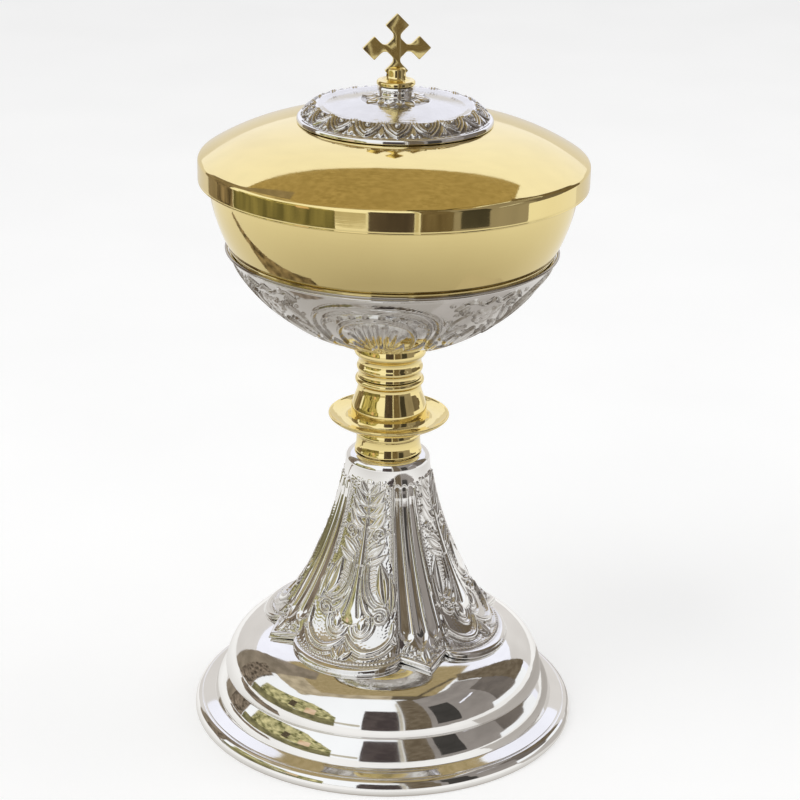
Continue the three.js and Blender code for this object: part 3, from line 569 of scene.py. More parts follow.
def trumpet_ornament(rows, columns):
    """Heights over one quarter: half a face, mirrored, between two fluted corners."""
    angle = (np.arange(columns) - columns / 2) * SECTOR / columns
    face_middle = FIRST_CORNER - SECTOR / 2
    t = rows[:, None]
    radius, _ = trumpet_skin(angle[None] + face_middle, t, relief=False)
    plain_r, plain_z = trumpet_skin(np.array([[face_middle]]), t, relief=False)
    length = run_length(np.hstack([plain_r, plain_z]))
    x = np.abs(radius * angle[None])
    y = np.repeat(length[:, None], columns, 1)

    def place(u, v):
        return u * FACE_HALF * flared(v, NOTCH_REACH + 6), np.interp(v, rows, length)

    face = Relief(x, y, place)
    spray(face)
    scrolls(face)
    bell(face)
    shell(face)
    # Punched ground between the forms
    punch = 0.07 * np.abs(np.sin(x * 2.1 + 0.7 * np.sin(y * 1.3)) * np.sin(y * 2.4 + 0.9 * np.sin(x * 1.7)))
    inside = np.clip((1.02 - np.abs(angle[None]) / FACE_HALF) / 0.04, 0, 1) + np.clip((t - 0.92) / 0.01, 0, 1)
    face.add(punch * np.clip(inside, 0, 1))
    # Border line, beads beside the flutes, and a rounded band along the lower edge
    face.ridge([(0.95, 0.09), (0.95, 0.4), (0.95, 0.74)], 0.4, 0.65)
    for v in np.arange(0.11, 0.5, 0.021):
        face.bead((0.87, v), 0.5, 0.5, 0.5)
    for u in np.linspace(0, 0.97, 18):
        face.bead((u, 0.965), 0.7, 0.7, 0.6)
    face.add(0.85 * dome((t - 0.985) / 0.012))
    return face.height * np.clip((t - 0.055) / 0.015, 0, 1)


def spray(face):
    """Sprig of leaves at the top of a face."""
    face.ridge([(0, 0.06), (0, 0.29)], 0.55, 0.75)
    face.leaf([(0, 0.115), (0, 0.03)], 1.5, 1.0)
    face.leaf([(0.02, 0.14), (0.27, 0.11), (0.42, 0.055)], 1.3, 0.95)
    face.leaf([(0.03, 0.2), (0.32, 0.175), (0.66, 0.1)], 1.75, 1.1)
    face.leaf([(0.03, 0.255), (0.38, 0.235), (0.7, 0.155)], 1.9, 1.15)
    face.leaf([(0.03, 0.315), (0.38, 0.3), (0.72, 0.21)], 2.0, 1.15)
    for spot in ((0.78, 0.085), (0.8, 0.14), (0.8, 0.25), (0.6, 0.06), (0.16, 0.33)):
        face.bead(spot, 0.75, 0.75, 0.7)


def scrolls(face):
    """Curled tendrils and leaves beside the stalk."""
    face.curl((0.52, 0.345), 3.0, 1.4, 100, 0.6, 0.95)
    face.ridge([(0.12, 0.43), (0.3, 0.395), (0.5, 0.375)], [0.45, 0.7, 0.6], 0.9)
    face.leaf([(0.14, 0.47), (0.4, 0.44), (0.72, 0.39)], 1.9, 1.15)
    face.leaf([(0.18, 0.5), (0.44, 0.49), (0.76, 0.45)], 1.4, 1.0)
    face.leaf([(0.1, 0.385), (0.2, 0.36), (0.3, 0.31)], 1.0, 0.9)
    face.bead((0.8, 0.33), 0.9, 0.9, 0.75)
    # Double line that frames the bell and winds into a volute
    face.ridge([(0.2, 0.45), (0.16, 0.53), (0.2, 0.61), (0.34, 0.69), (0.52, 0.725)], 0.6, 1.0)
    face.curl((0.62, 0.765), 3.6, 1.4, -130, 0.7, 1.1)
    face.ridge([(0.29, 0.48), (0.27, 0.55), (0.33, 0.63), (0.5, 0.69), (0.7, 0.71)], 0.45, 0.8)
    for v in np.arange(0.49, 0.66, 0.019):
        start = 0.29 + max(0, v - 0.56) * 1.6
        face.ridge([(start, v), (start + 0.17, v - 0.014)], [0.4, 0.3], 0.4)
    face.leaf([(0.74, 0.71), (0.68, 0.6), (0.58, 0.49)], 2.7, 1.1)
    face.leaf([(0.86, 0.76), (0.9, 0.67), (0.86, 0.55)], 1.6, 0.9)


def bell(face):
    """Stalk that opens into a ribbed bell."""
    face.ridge([(0, 0.27), (0, 0.4), (0, 0.5), (0, 0.57), (0, 0.64), (0, 0.7), (0, 0.75)],
               [0.8, 1.1, 1.5, 2.2, 3.8, 5.4, 6.0], 1.45)
    face.groove([(0.06, 0.52), (0.07, 0.62), (0.1, 0.7), (0.16, 0.77)], 0.55, 0.6)
    face.groove([(0.12, 0.62), (0.2, 0.7), (0.3, 0.755)], 0.5, 0.5)
    face.ridge([(0.1, 0.57), (0.16, 0.66), (0.3, 0.735), (0.42, 0.76)], [0.5, 0.8, 1.0, 0.8], 1.25)
    face.curl((0.36, 0.775), 1.8, 1.1, 200, 0.55, 1.1, -1)


def shell(face):
    """Drops under the bell in nested arcs, and the cusped frame below them."""
    x0, y0 = face.place(0.27, 0.81)
    arc = np.radians(np.linspace(-40, 220, 22))
    for size, tall in ((3.4, 0.6), (5.3, 0.55)):
        path = np.stack([x0 + size * 0.85 * np.cos(arc), y0 + size * np.sin(arc)], -1)
        _, away = face.along(path)
        face.add(tall * dome(away / 0.7))
    face.bead((0.27, 0.805), 1.9, 3.4, 1.5)
    face.ridge([(0.9, 0.8), (0.84, 0.87), (0.62, 0.915), (0.36, 0.925), (0.14, 0.9), (0, 0.865)],
               [0.7, 1.1, 1.3, 1.3, 1.1, 0.7], 1.25)
    face.ridge([(0.86, 0.91), (0.62, 0.948), (0.36, 0.953), (0.2, 0.94)], [0.35, 0.5, 0.5, 0.4], 0.8)
    face.leaf([(0, 0.955), (0, 0.895)], 2.6, 1.15)
    face.leaf([(0.03, 0.955), (0.12, 0.935), (0.2, 0.915)], 1.2, 0.9)
    face.leaf([(0.92, 0.9), (0.88, 0.84), (0.94, 0.77)], 1.3, 0.8)
    # Small ornament below the flutes, down to the tip
    corner = 1 + CORNER_HALF / FACE_HALF
    face.leaf([(corner, 0.975), (corner, 0.94), (corner, 0.905)], 2.2, 1.0)
    for spot in ((1.1, 0.9), (1.22, 0.925), (1.14, 0.95), (1.28, 0.955), (1.34, 0.93), (1.06, 0.93),
                 (1.2, 0.965)):
        face.bead(spot, 0.8, 0.8, 0.75)
    face.leaf([(1.02, 0.96), (1.08, 0.93), (1.16, 0.905)], 1.2, 0.9)


def trumpet_stem():
    rows = np.concatenate([[0, 0.004, 0.012], np.linspace(0.03, 0.997, TRUMPET_ROWS - 4), [1.0]])
    around = azimuths(TRUMPET_COLUMNS)
    quarter = TRUMPET_COLUMNS // 4
    pattern = np.tile(trumpet_ornament(rows, quarter), (1, 4))
    first = int(round((FIRST_CORNER - SECTOR) / (2 * np.pi) * TRUMPET_COLUMNS))
    pattern = np.roll(pattern, first, 1)
    t = rows[:, None]
    radius, height = trumpet_skin(around[None], t)
    outer = raised(round_points(radius, around[None], height), pattern)
    reach = edge_reach(around)
    edge = round_points(reach + 0.15, around, foot_top(reach) + 0.8)
    under = round_points(reach - 0.6, around, foot_top(reach - 0.6) + GAP)
    inner = []
    for t in np.linspace(0.985, 0.06, 18):
        r, z = trumpet_skin(around, t)
        r2, z2 = trumpet_skin(around, t + 0.012)
        run = np.hypot(r2 - r, z2 - z)
        depth = TRUMPET_WALL + 0.8 * min(1, t / 0.3)
        inner.append(round_points(r - depth * (z - z2) / run, around, z - depth * (r2 - r) / run))

    plate = trumpet_top - 2.4
    turn = np.linspace(0, np.pi / 2, 12)[:-1]
    shoulder_radii = TRUMPET_TOP_RADIUS - SHOULDER_REACH * (1 - np.sin(turn))
    shoulder = zip(shoulder_radii, trumpet_top - SHOULDER_DROP * (1 - np.cos(turn)))
    closing = [
        level_ring(np.hypot(inner[-1][:, 0], inner[-1][:, 1]), plate, around),
        *plain_rings([(ROD_HOLE, plate), (ROD_HOLE, trumpet_top), *shoulder], TRUMPET_COLUMNS),
    ]
    rings = np.concatenate([outer, [edge, under], inner, closing])
    mesh = skin_mesh("stem_embossed", rings)
    # Tarnish and painted shade: darker in the ground between the forms and at their steep feet, on the faces
    # only
    low = np.clip(0.25 * np.clip(1 - pattern / 0.4, 0, 1) + 0.75 * outlines(pattern), 0, 1)
    angle = np.abs(from_corner(around))[None]
    in_face = np.clip((angle - CORNER_HALF) / 0.02, 0, 1) + np.clip((rows[:, None] - 0.9) / 0.02, 0, 1)
    hollow = low * np.clip(in_face, 0, 1) * np.clip((rows[:, None] - 0.06) / 0.03, 0, 1)
    rest = np.zeros((len(rings) - len(rows), TRUMPET_COLUMNS))
    set_attribute(mesh, "hollow", np.vstack([hollow, rest]))
    add_piece(mesh, "trumpet_stem", "vessel", embossed)


trumpet_stem()


# Collars and knop

def ring_solid(outline, bore=ROD_HOLE):
    """Closes an outer outline of [radius, height] points with a straight bore."""
    return [(bore, outline[0][1]), *outline, (bore, outline[-1][1])]


def lower_collar():
    low, top, _ = levels("lower_collar")
    outline = [*lifted(low, [
        (12.3, 0), (12.6, 0.3), (12.55, 0.8), (12.35, 1.3), (12.1, 2.3), (11.94, 3.4), (11.9, 5.0),
        (11.95, 6.0), (12.25, 6.5), (12.4, 7.1), (12.3, 7.8), (12.0, 8.6),
    ]), (11.8, top)]
    mesh = turned_mesh("collar_lower_turned", ring_solid(outline), radius=0.14)
    add_piece(mesh, "lower_collar", "vessel", gilt)


def knop():
    low, top, saucer = levels("knop")
    under = [
        (12.0, 0), (13.4, 0.25), (15.3, 0.6), (17.0, 1.15), (18.7, 1.8), (20.2, 2.6), (21.3, 3.35),
        (22.1, 4.0), (saucer, 4.5), (saucer, 4.85),
    ]
    inside = [
        (22.25, 5.14), (21.9, 5.0), (21.5, 4.57), (20.4, 3.95), (19.1, 3.46), (17.6, 3.2), (16.1, 3.2),
    ]
    neck = [
        (15.1, 3.55), (14.5, 4.3), (14.15, 5.4), (14.0, 6.9), (13.95, 8.0), (13.7, 9.3), (13.3, 10.6),
        (12.8, 12.0), (12.3, 13.4), (11.92, 14.8), (11.75, 16.2),
    ]
    bead = [(11.8, 0), (12.35, 0.2), (12.7, 0.7), (12.8, 1.3), (12.7, 1.9), (12.3, 2.4)]
    outline = [*lifted(low, under + inside + neck), *lifted(top - 2.6, bead), (12.0, top)]
    mesh = turned_mesh("knop_turned", ring_solid(outline), radius=0.2)
    add_piece(mesh, "knop", "vessel", gilt)


def upper_collar():
    low, top, _ = levels("upper_collar")
    bead = [
        (11.9, 0), (11.7, 0.7), (11.65, 1.6), (11.8, 2.3), (12.15, 2.8), (12.3, 3.5), (12.15, 4.2),
        (11.85, 4.7), (11.65, 5.4), (11.6, 6.3), (11.75, 7.2),
    ]
    barrel = [
        (12.3, 8.0), (13.0, 8.6), (13.35, 9.4), (13.35, 10.4), (13.15, 11.6), (12.9, 12.5), (13.0, 12.8),
        (13.4, 13.1),
    ]
    outline = [*lifted(low, bead + barrel), (13.4, top)]
    mesh = turned_mesh("collar_upper_turned", ring_solid(outline), radius=0.16)
    add_piece(mesh, "upper_collar", "vessel", gilt)


lower_collar()
knop()
upper_collar()


# Bowl

bowl_low, bowl_top, bead_radius = levels("cup_bowl")
BOWL_RADIUS = 66.9
BOWL_DEPTH = 69.3
# Both powers of the bowl's oval, upright and across; 2 and 2 would be a plain ellipse
BOWL_UPRIGHT = 2.05
BOWL_ACROSS = 1.9


def bowl_radius(z, grow=0.0):
    share = np.clip((bowl_top - np.asarray(z, float)) / (BOWL_DEPTH + grow), 0, 1)
    return (BOWL_RADIUS + grow) * (1 - share ** BOWL_UPRIGHT) ** (1 / BOWL_ACROSS)


def bowl_curve(low, high, grow, count):
    z = blend(low, high, np.linspace(0, 1, count) ** 2.0)
    return list(zip(bowl_radius(z, grow), z))


def cup_bowl():
    outline = [
        (0, bowl_low),
        *bowl_curve(bowl_low, bowl_top - 3.3, 0.0, 60),
        (66.9, bowl_top - 3.0), (67.9, bowl_top - 2.6), (68.35, bowl_top - 1.9),
        (bead_radius, bowl_top - 1.2), (68.2, bowl_top - 0.4), (67.7, bowl_top),
        (66.4, bowl_top), (66.0, bowl_top - 0.4),
        *bowl_curve(bowl_low + 1, bowl_top - 1.2, -1.0, 40)[::-1],
        (0, bowl_low + 1),
    ]
    mesh = turned_mesh("cup_raised", outline, radius=0.14)
    add_piece(mesh, "cup_bowl", "vessel", gilt)


cup_bowl()


# Calyx and its wire

calyx_low, calyx_top, _ = levels("calyx")
CALYX_GROWTH = 1.0
CALYX_FLOOR = 13.4
# Azimuth of the middle of an arch
CALYX_TURN = -6.0


def calyx_rows():
    """Outer profile from the floor's edge up to the top, evenly spaced."""
    start_r = CALYX_FLOOR * 1.55
    grown = BOWL_RADIUS + CALYX_GROWTH
    share = (1 - (start_r / grown) ** BOWL_ACROSS) ** (1 / BOWL_UPRIGHT)
    start_z = bowl_top - (BOWL_DEPTH + CALYX_GROWTH) * share
    z = blend(start_z, calyx_top, np.linspace(0, 1, 400) ** 1.7)
    curve = list(zip(bowl_radius(z, CALYX_GROWTH), z))
    outline = [(CALYX_FLOOR, calyx_low), (CALYX_FLOOR * 1.27, calyx_low + 0.9), *curve]
    points = even_steps(outline, False, 0.1)
    pick = np.linspace(0, len(points) - 1, CALYX_ROWS).astype(int)
    return points[pick]


def calyx_ornament(profile, columns):
    """Heights over one quarter: a wide shell arch, and flowers and leaves between two of them."""
    angle = (np.arange(columns) - columns / 2) * 90 / columns
    length = run_length(profile)
    x = profile[:, :1] * np.radians(angle)[None]
    y = np.repeat(length[:, None], columns, 1)

    def place(azimuth, z):
        radius = np.interp(z, profile[:, 1], profile[:, 0])
        return radius * math.radians(azimuth), np.interp(z, profile[:, 1], length)

    skin = Relief(x, y, place)
    skin.x = np.abs(x)
    # Wide double arch
    skin.ridge([(27, 161), (27, 168), (24, 174.5), (17, 178.8), (9, 180.6), (0, 181.1)],
               [0.5, 0.7, 0.8, 0.8, 0.75, 0.7], 1.0)
    skin.ridge([(23.5, 163), (22.5, 170), (18.5, 174.6), (11, 177.4), (0, 178.4)],
               [0.35, 0.5, 0.55, 0.55, 0.5], 0.75)
    # Nested shell with ribs
    skin.ridge([(17.5, 160), (17, 166.5), (13, 171.3), (6, 173.8), (0, 174.4)],
               [0.5, 0.7, 0.8, 0.8, 0.8], 0.95)
    for a in (0, 5.5, 11, 16.5):
        low = 158 + 0.1 * a
        skin.ridge([(a * 0.5, low), (a * 0.62, 164), (a * 0.72, 171.6 - 0.02 * a * a)], [0.3, 0.7, 0.95], 0.7)
    for a in (3.0, 8.2, 13.2, 18.0, 21.0):
        skin.bead((a, 176.2 - 0.012 * a * a), 0.9, 0.7, 0.7)
    skin.leaf([(0, 152.5), (0, 160.5)], 3.4, 0.9)
    skin.leaf([(4, 152.6), (11, 156), (13, 161)], 2.2, 0.8)
    skin.leaf([(10, 153), (22, 156.5), (24, 161.5)], 2.2, 0.8)
    # Between the arches: rosette, sprigs and acanthus about the quarter's seam
    skin.bead((45, 172.8), 2.0, 2.0, 1.0)
    x0, y0 = place(45, 172.8)
    for k in range(8):
        turn = k * math.pi / 4 + 0.2
        away = np.hypot(skin.x - x0 - 3.5 * math.cos(turn), skin.y - y0 - 3.5 * math.sin(turn))
        skin.add(0.95 * dome(away / 1.75))
    skin.ridge([(30, 178.5), (33.5, 181.0), (38, 180.6), (41.5, 179.2), (45, 181.4)],
               [0.4, 0.6, 0.65, 0.6, 0.4], 0.9)
    skin.curl((34.2, 177.2), 2.2, 1.3, 60, 0.5, 0.8)
    skin.leaf([(31, 168), (33, 172), (37.5, 176.4)], 1.5, 0.85)
    skin.leaf([(30.5, 163), (34, 167.5), (39, 169.5)], 1.6, 0.85)
    skin.curl((33.5, 164.2), 2.3, 1.3, 200, 0.5, 0.8)
    skin.leaf([(45, 158), (45, 168)], 2.6, 0.95)
    skin.leaf([(42, 157.5), (38, 161), (37.5, 165.5)], 1.9, 0.85)
    skin.leaf([(38, 154.5), (32, 157), (31, 161.5)], 1.9, 0.8)
    skin.leaf([(45, 151.8), (45, 157.6)], 3.0, 0.9)
    for spot in ((29.6, 173), (31, 176), (40.5, 176.6), (39.6, 167), (41, 163.6), (28.6, 165),
                 (36, 181.9), (28, 180.6)):
        skin.bead(spot, 0.75, 0.75, 0.6)
    # Moulded top edge
    top = place(0, calyx_top)[1]
    skin.add(0.15 * dome((skin.y - top + 0.5) / 0.45))
    return skin.height * np.clip((skin.y - 3.0) / 1.5, 0, 1)


def calyx():
    profile = calyx_rows()
    quarter = CALYX_COLUMNS // 4
    pattern = np.tile(calyx_ornament(profile, quarter), (1, 4))
    shift = int(round((CALYX_TURN - 45.0) / 360 * CALYX_COLUMNS))
    pattern = np.roll(pattern, shift, 1)
    outer = raised(grid(profile, CALYX_COLUMNS), pattern)
    outer[..., 2] = np.clip(outer[..., 2], calyx_low, calyx_top)
    inner_z = blend(calyx_top, calyx_low + 3.0, np.linspace(0, 1, 16))
    floor_edge = [(CALYX_FLOOR * 1.24, 1.5), (CALYX_FLOOR, 0.7), (ROD_HOLE, 0.7), (ROD_HOLE, 0)]
    inner = [*zip(bowl_radius(inner_z, GAP), inner_z), *lifted(calyx_low, floor_edge)]
    mesh = skin_mesh("calyx_embossed", np.concatenate([outer, plain_rings(inner, CALYX_COLUMNS)]))
    below_edge = np.clip((calyx_top - 1.6 - profile[:, 1:]) / 0.5, 0, 1)
    # Tarnish and painted shade: darker at the steep feet of the forms and faintly in the ground, below the
    # top edge
    hollow = np.clip(0.15 * np.clip(1 - pattern / 0.5, 0, 1) + 1.3 * outlines(pattern), 0, 1) * below_edge
    rest = np.zeros((len(inner), CALYX_COLUMNS))
    set_attribute(mesh, "hollow", np.vstack([hollow, rest]))
    add_piece(mesh, "calyx", "vessel", chased_silver)


def calyx_wire():
    low, top, outer = levels("calyx_wire")
    half = (top - low) / 2
    angle = np.linspace(0, 2 * np.pi, 28, endpoint=False)
    outline = list(zip(outer - half + half * np.cos(angle), low + half + half * np.sin(angle)))
    mesh = turned_mesh("wire_beading", outline, radius=0.05)
    add_piece(mesh, "calyx_wire", "vessel", wire_silver_shaded)


calyx()
calyx_wire()


# Rod, washer and nut under the bowl

def threaded(radius, low, high, pitch, depth):
    """Rings up a rod whose surface winds in a thread."""
    around = azimuths(SMALL_SEGMENTS)
    rings = []
    for z in np.arange(low, high, pitch / 8):
        turn = (z / pitch - around / (2 * np.pi)) % 1
        fade = min(1, (z - low) / pitch, (high - z) / pitch)
        rings.append(level_ring(radius - depth * np.abs(2 * turn - 1) * fade, z, around))
    return rings


def tie_rod():
    low, top, head = levels("tie_rod")
    head_low = top - 1.65
    shaft = 2.5
    rings = plain_rings([(shaft - 0.9, low), (shaft - 0.4, low + 0.15), (shaft, low + 0.6)], SMALL_SEGMENTS)
    rings += threaded(shaft, low + 0.7, low + 10.5, pitch=0.8, depth=0.32)
    rings += plain_rings([(shaft, z) for z in np.linspace(low + 10.7, head_low - 3, 12)], SMALL_SEGMENTS)
    rings += plain_rings([
        (shaft, head_low - 1.2), (shaft + 0.2, head_low - 0.3), (shaft + 0.6, head_low),
        (head - 0.4, head_low), (head, head_low + 0.4), (head, top - 0.4), (head - 0.4, top),
    ], SMALL_SEGMENTS)
    mesh = capped_mesh("rod_threaded", np.array(rings), low, top)
    add_piece(mesh, "tie_rod", "vessel", brass)


def washer(name, node_name, body, bore):
    low, top, radius = levels(node_name)
    bevel = 0.25
    outline = [(bore, low + 0.1), (bore + 0.15, low), (radius - bevel, low), (radius, low + bevel),
               (radius, top - bevel), (radius - bevel, top), (bore + 0.15, top), (bore, top - 0.1)]
    mesh = turned_mesh(name, outline, segments=SMALL_SEGMENTS, radius=0.06)
    add_piece(mesh, node_name, body, brass)


def nut(name, node_name, body, flats, bore):
    """A hexagon nut with chamfered corners and a countersunk bore."""
    low, top, _ = levels(node_name)
    around = azimuths(SMALL_SEGMENTS)
    across = flats / 2 / np.cos((around + np.pi / 3) % (np.pi / 3) - np.pi / 6)
    widest = flats / 2 * 1.04
    chamfer = 0.16 * flats / 2
    half = [
        (bore, 0.35), (bore + 0.35, 0), (widest * 0.97, 0), (np.minimum(across, widest), 0.05),
        (across * 0.995, chamfer * 1.2), (across, chamfer * 1.5),
    ]
    outline = [*[(r, low + z) for r, z in half], *[(r, top - z) for r, z in half[::-1]]]
    mesh = skin_mesh(name, np.array([level_ring(r, z, around) for r, z in outline]))
    mesh.set_sharp_from_angle(angle=math.radians(28))
    add_piece(mesh, node_name, body, brass)


tie_rod()
washer("washer_foot", "foot_washer", "vessel", ROD_HOLE)
nut("nut_foot", "foot_nut", "vessel", 8.5, ROD_HOLE)


# Lid

skirt_bottom, _, lid_radius = levels("lid_shell")
LID_EDGE = skirt_bottom + 8.3
LID_RISE = 14.6
LID_BEND = 3.2
STUD_HOLE = 2.3
SKIRT_INNER = lid_radius - 1.0


def lid_top(r):
    return LID_EDGE + LID_RISE * (1 - (np.asarray(r, float) / lid_radius) ** LID_BEND)


def lid_shell():
    seat = bowl_top + GAP
    seat_inner = SKIRT_INNER - 4.2
    outer = [(r, float(lid_top(r))) for r in np.linspace(STUD_HOLE, lid_radius - 0.9, 60)]
    inner = [(r, float(lid_top(r)) - 1.0) for r in np.linspace(STUD_HOLE, seat_inner, 30)]
    outline = [
        *outer,
        (lid_radius - 0.25, LID_EDGE - 0.1), (lid_radius, LID_EDGE - 0.7),
        (lid_radius, skirt_bottom + 0.9), (lid_radius - 0.15, skirt_bottom + 0.75),
        (lid_radius, skirt_bottom + 0.55), (lid_radius - 0.1, skirt_bottom + 0.1),
        (lid_radius - 0.4, skirt_bottom), (SKIRT_INNER, skirt_bottom), (SKIRT_INNER, seat),
        (seat_inner, seat), *inner[::-1],
    ]
    mesh = turned_mesh("lid_raised", outline, radius=0.2)
    add_piece(mesh, "lid_shell", "lid", gilt)


lid_shell()


# Plaque on the lid

_, plaque_top, plaque_radius = levels("lid_plaque")
PLAQUE_SEAT = float(lid_top(plaque_radius)) + GAP
RIM_TOP = PLAQUE_SEAT + 1.7
BORDER_OUTER = plaque_radius - 1.4
CREST = BORDER_OUTER - 5.1
CREST_TOP = RIM_TOP + 4.3
FIELD = CREST - 3.3
FIELD_EDGE = CREST_TOP - 0.6
CONE_TOP = FIELD_EDGE + 2.4
COLLAR_RADIUS = 6.7
ROSETTE = COLLAR_RADIUS + 5.6
ARCHES = 18
PETALS = 8


def plaque_profile():
    """Outer profile from the rim's foot up to the hub."""
    outline = [
        (plaque_radius, PLAQUE_SEAT), (plaque_radius, PLAQUE_SEAT + 0.8),
        (plaque_radius - 0.25, RIM_TOP - 0.25), (plaque_radius - 0.7, RIM_TOP),
        (BORDER_OUTER + 0.2, RIM_TOP - 0.12), (BORDER_OUTER - 0.1, RIM_TOP - 0.1),
        (BORDER_OUTER - 0.4, RIM_TOP + 0.3), (BORDER_OUTER - 1.8, RIM_TOP + 1.8),
        (CREST + 1.5, RIM_TOP + 3.3), (CREST + 0.4, CREST_TOP - 0.25), (CREST - 0.1, CREST_TOP),
        (CREST - 1.0, CREST_TOP - 0.1), (FIELD + 1.0, FIELD_EDGE + 0.25), (FIELD, FIELD_EDGE),
        (blend(FIELD, ROSETTE, 0.5), blend(FIELD_EDGE, CONE_TOP, 0.5)),
        (ROSETTE + 0.3, CONE_TOP - 0.05), (ROSETTE - 0.6, CONE_TOP + 0.05),
        (COLLAR_RADIUS + 0.8, plaque_top - 0.1), (COLLAR_RADIUS, plaque_top),
    ]
    points = soften(outline, 0.18, turn=400, stride=0.05)
    pick = np.linspace(0, len(points) - 1, PLAQUE_ROWS).astype(int)
    return points[pick]


def plaque_ornament(profile, around):
    """Pointed arches round the border and the petals of a rosette round the hub."""
    length = run_length(profile)
    radii = profile[::-1, 0]

    def folded(count, offset):
        step = 360 / count
        turned = (np.degrees(around) - offset + step / 2) % step - step / 2
        return profile[:, :1] * np.radians(np.abs(turned))[None]

    def place(azimuth, r):
        return r * math.radians(azimuth), np.interp(r, radii, length[::-1])

    y = np.repeat(length[:, None], len(around), 1)
    arches = Relief(folded(ARCHES, 2.0), y, place)
    arches.ridge([(8.9, 28.4), (8.7, 29.4), (7.2, 30.8), (4.0, 32.1), (0, 33.1)],
                 [0.35, 0.4, 0.4, 0.38, 0.3], 0.75)
    arches.ridge([(6.7, 28.5), (6.4, 29.3), (4.8, 30.5), (2.3, 31.5), (0, 32.1)],
                 [0.26, 0.3, 0.3, 0.28, 0.24], 0.55)
    arches.ridge([(3.9, 28.8), (3.6, 29.6), (2.0, 30.7), (0, 31.2)], 0.2, 0.3)
    arches.bead((0, 29.5), 0.85, 0.8, 0.85)
    arches.leaf([(10, 33.2), (10, 30.4)], 1.1, 0.6)
    arches.ridge([(6.2, 33.2), (8.0, 32.3), (10, 31.9)], 0.25, 0.45)
    arches.bead((10, 33.0), 0.4, 0.4, 0.45)
    arches.bead((10, 29.2), 0.5, 0.6, 0.4)
    hub = Relief(folded(PETALS, -12.0), y, place)
    hub.leaf([(0, 6.9), (0, 12.1)], 2.2, 0.85)
    hub.leaf([(22.5, 6.9), (22.5, 10.4)], 1.6, 0.55)
    return np.maximum(arches.height, hub.height)


def lid_plaque():
    profile = plaque_profile()
    pattern = plaque_ornament(profile, azimuths(PLAQUE_COLUMNS))
    outer = raised(grid(profile, PLAQUE_COLUMNS), pattern)
    inner = [(STUD_HOLE, plaque_top), (STUD_HOLE, float(lid_top(STUD_HOLE)) + GAP)]
    inner += [(r, float(lid_top(r)) + GAP) for r in np.linspace(6, plaque_radius - 0.3, 12)]
    rings = np.concatenate([outer, plain_rings(inner, PLAQUE_COLUMNS)])
    mesh = skin_mesh("plaque_embossed", rings)
    r = profile[:, :1]
    border = np.clip((BORDER_OUTER - 0.2 - r) / 0.3, 0, 1) * np.clip((r - CREST + 0.1) / 0.3, 0, 1)
    rosette = np.clip((ROSETTE + 0.2 - r) / 0.3, 0, 1)
    # Tarnish and painted shade: darker in the ground of the border and the rosette; the satin cone is a
    # little darker too
    hollow = np.clip(1 - pattern / 0.4, 0, 1) * np.clip(border + 0.6 * rosette, 0, 1)
    cone = np.clip((CREST - 0.6 - r) / 0.4, 0, 1) * np.clip((r - ROSETTE) / 0.4, 0, 1)
    rest = np.zeros((len(inner), PLAQUE_COLUMNS))
    set_attribute(mesh, "hollow", np.vstack([np.maximum(hollow, 0.22 * cone), rest]))
    set_attribute(mesh, "satin", np.vstack([np.repeat(cone, PLAQUE_COLUMNS, 1), rest]))
    add_piece(mesh, "lid_plaque", "lid", plaque_silver)


lid_plaque()


# Finial and cross

knob_low, knob_top, flange_radius = levels("finial_knob")
cross_low, cross_top, _ = levels("cross")
CROSS_TURN = math.radians(10)
CROSS_REACH = 12.2
CROSS_HALF = 0.8


def finial_collar():
    low, top, radius = levels("finial_collar")
    outline = [
        (radius - 0.3, low), (radius, low + 0.3), (radius - 0.05, low + 0.9), (radius - 0.4, low + 1.3),
        (radius - 0.45, low + 2.3), (radius - 0.15, low + 2.8), (radius, low + 3.3), (radius - 0.3, top),
    ]
    mesh = turned_mesh("finial_collar_turned", ring_solid(outline, STUD_HOLE), SMALL_SEGMENTS, 0.1)
    add_piece(mesh, "finial_collar", "lid", silver)


def finial_knob():
    flange = knob_low + 1.8
    outline = [
        (0, knob_low + 2.7), (STUD_HOLE, knob_low + 2.7), (STUD_HOLE, knob_low),
        (flange_radius - 0.35, knob_low), (flange_radius, knob_low + 0.3), (flange_radius, knob_low + 1.2),
        (flange_radius - 0.4, flange - 0.05), (5.0, flange), (4.2, flange + 0.3), (3.65, flange + 0.9),
        (3.45, flange + 1.5), (3.45, knob_top - 1.7), (3.3, knob_top - 0.9), (2.75, knob_top - 0.35),
        (1.6, knob_top - 0.05), (0, knob_top),
    ]
    knob = add_object("knob_body", turned_mesh("knob_body", outline, SMALL_SEGMENTS, 0.12))
    slot = bmesh.new()
    bmesh.ops.create_cube(slot, size=1.0)
    depth = 7.2
    centre = knob_top - 3.6 + depth / 2
    bmesh.ops.transform(slot, matrix=Matrix.Diagonal((16 * MM, 2.2 * MM, depth * MM, 1)), verts=slot.verts)
    bmesh.ops.translate(slot, vec=(0, 0, centre * MM), verts=slot.verts)
    bmesh.ops.transform(slot, matrix=Matrix.Rotation(CROSS_TURN, 4, "Z"), verts=slot.verts)
    cutter_mesh = bpy.data.meshes.new("knob_slot")
    slot.to_mesh(cutter_mesh)
    slot.free()
    cutter = add_object("knob_slot", cutter_mesh)
    cut = knob.modifiers.new("slot", "BOOLEAN")
    cut.operation = "DIFFERENCE"
    cut.object = cutter
    cut.solver = "EXACT"
    bpy.context.view_layer.update()
    evaluated = knob.evaluated_get(bpy.context.evaluated_depsgraph_get())
    mesh = bpy.data.meshes.new_from_object(evaluated)
    mesh.name = "knob_slotted"
    for thing in (knob, cutter):
        bpy.data.objects.remove(thing)
    mesh.set_sharp_from_angle(angle=math.radians(35))
    add_piece(mesh, "finial_knob", "lid", gilt)


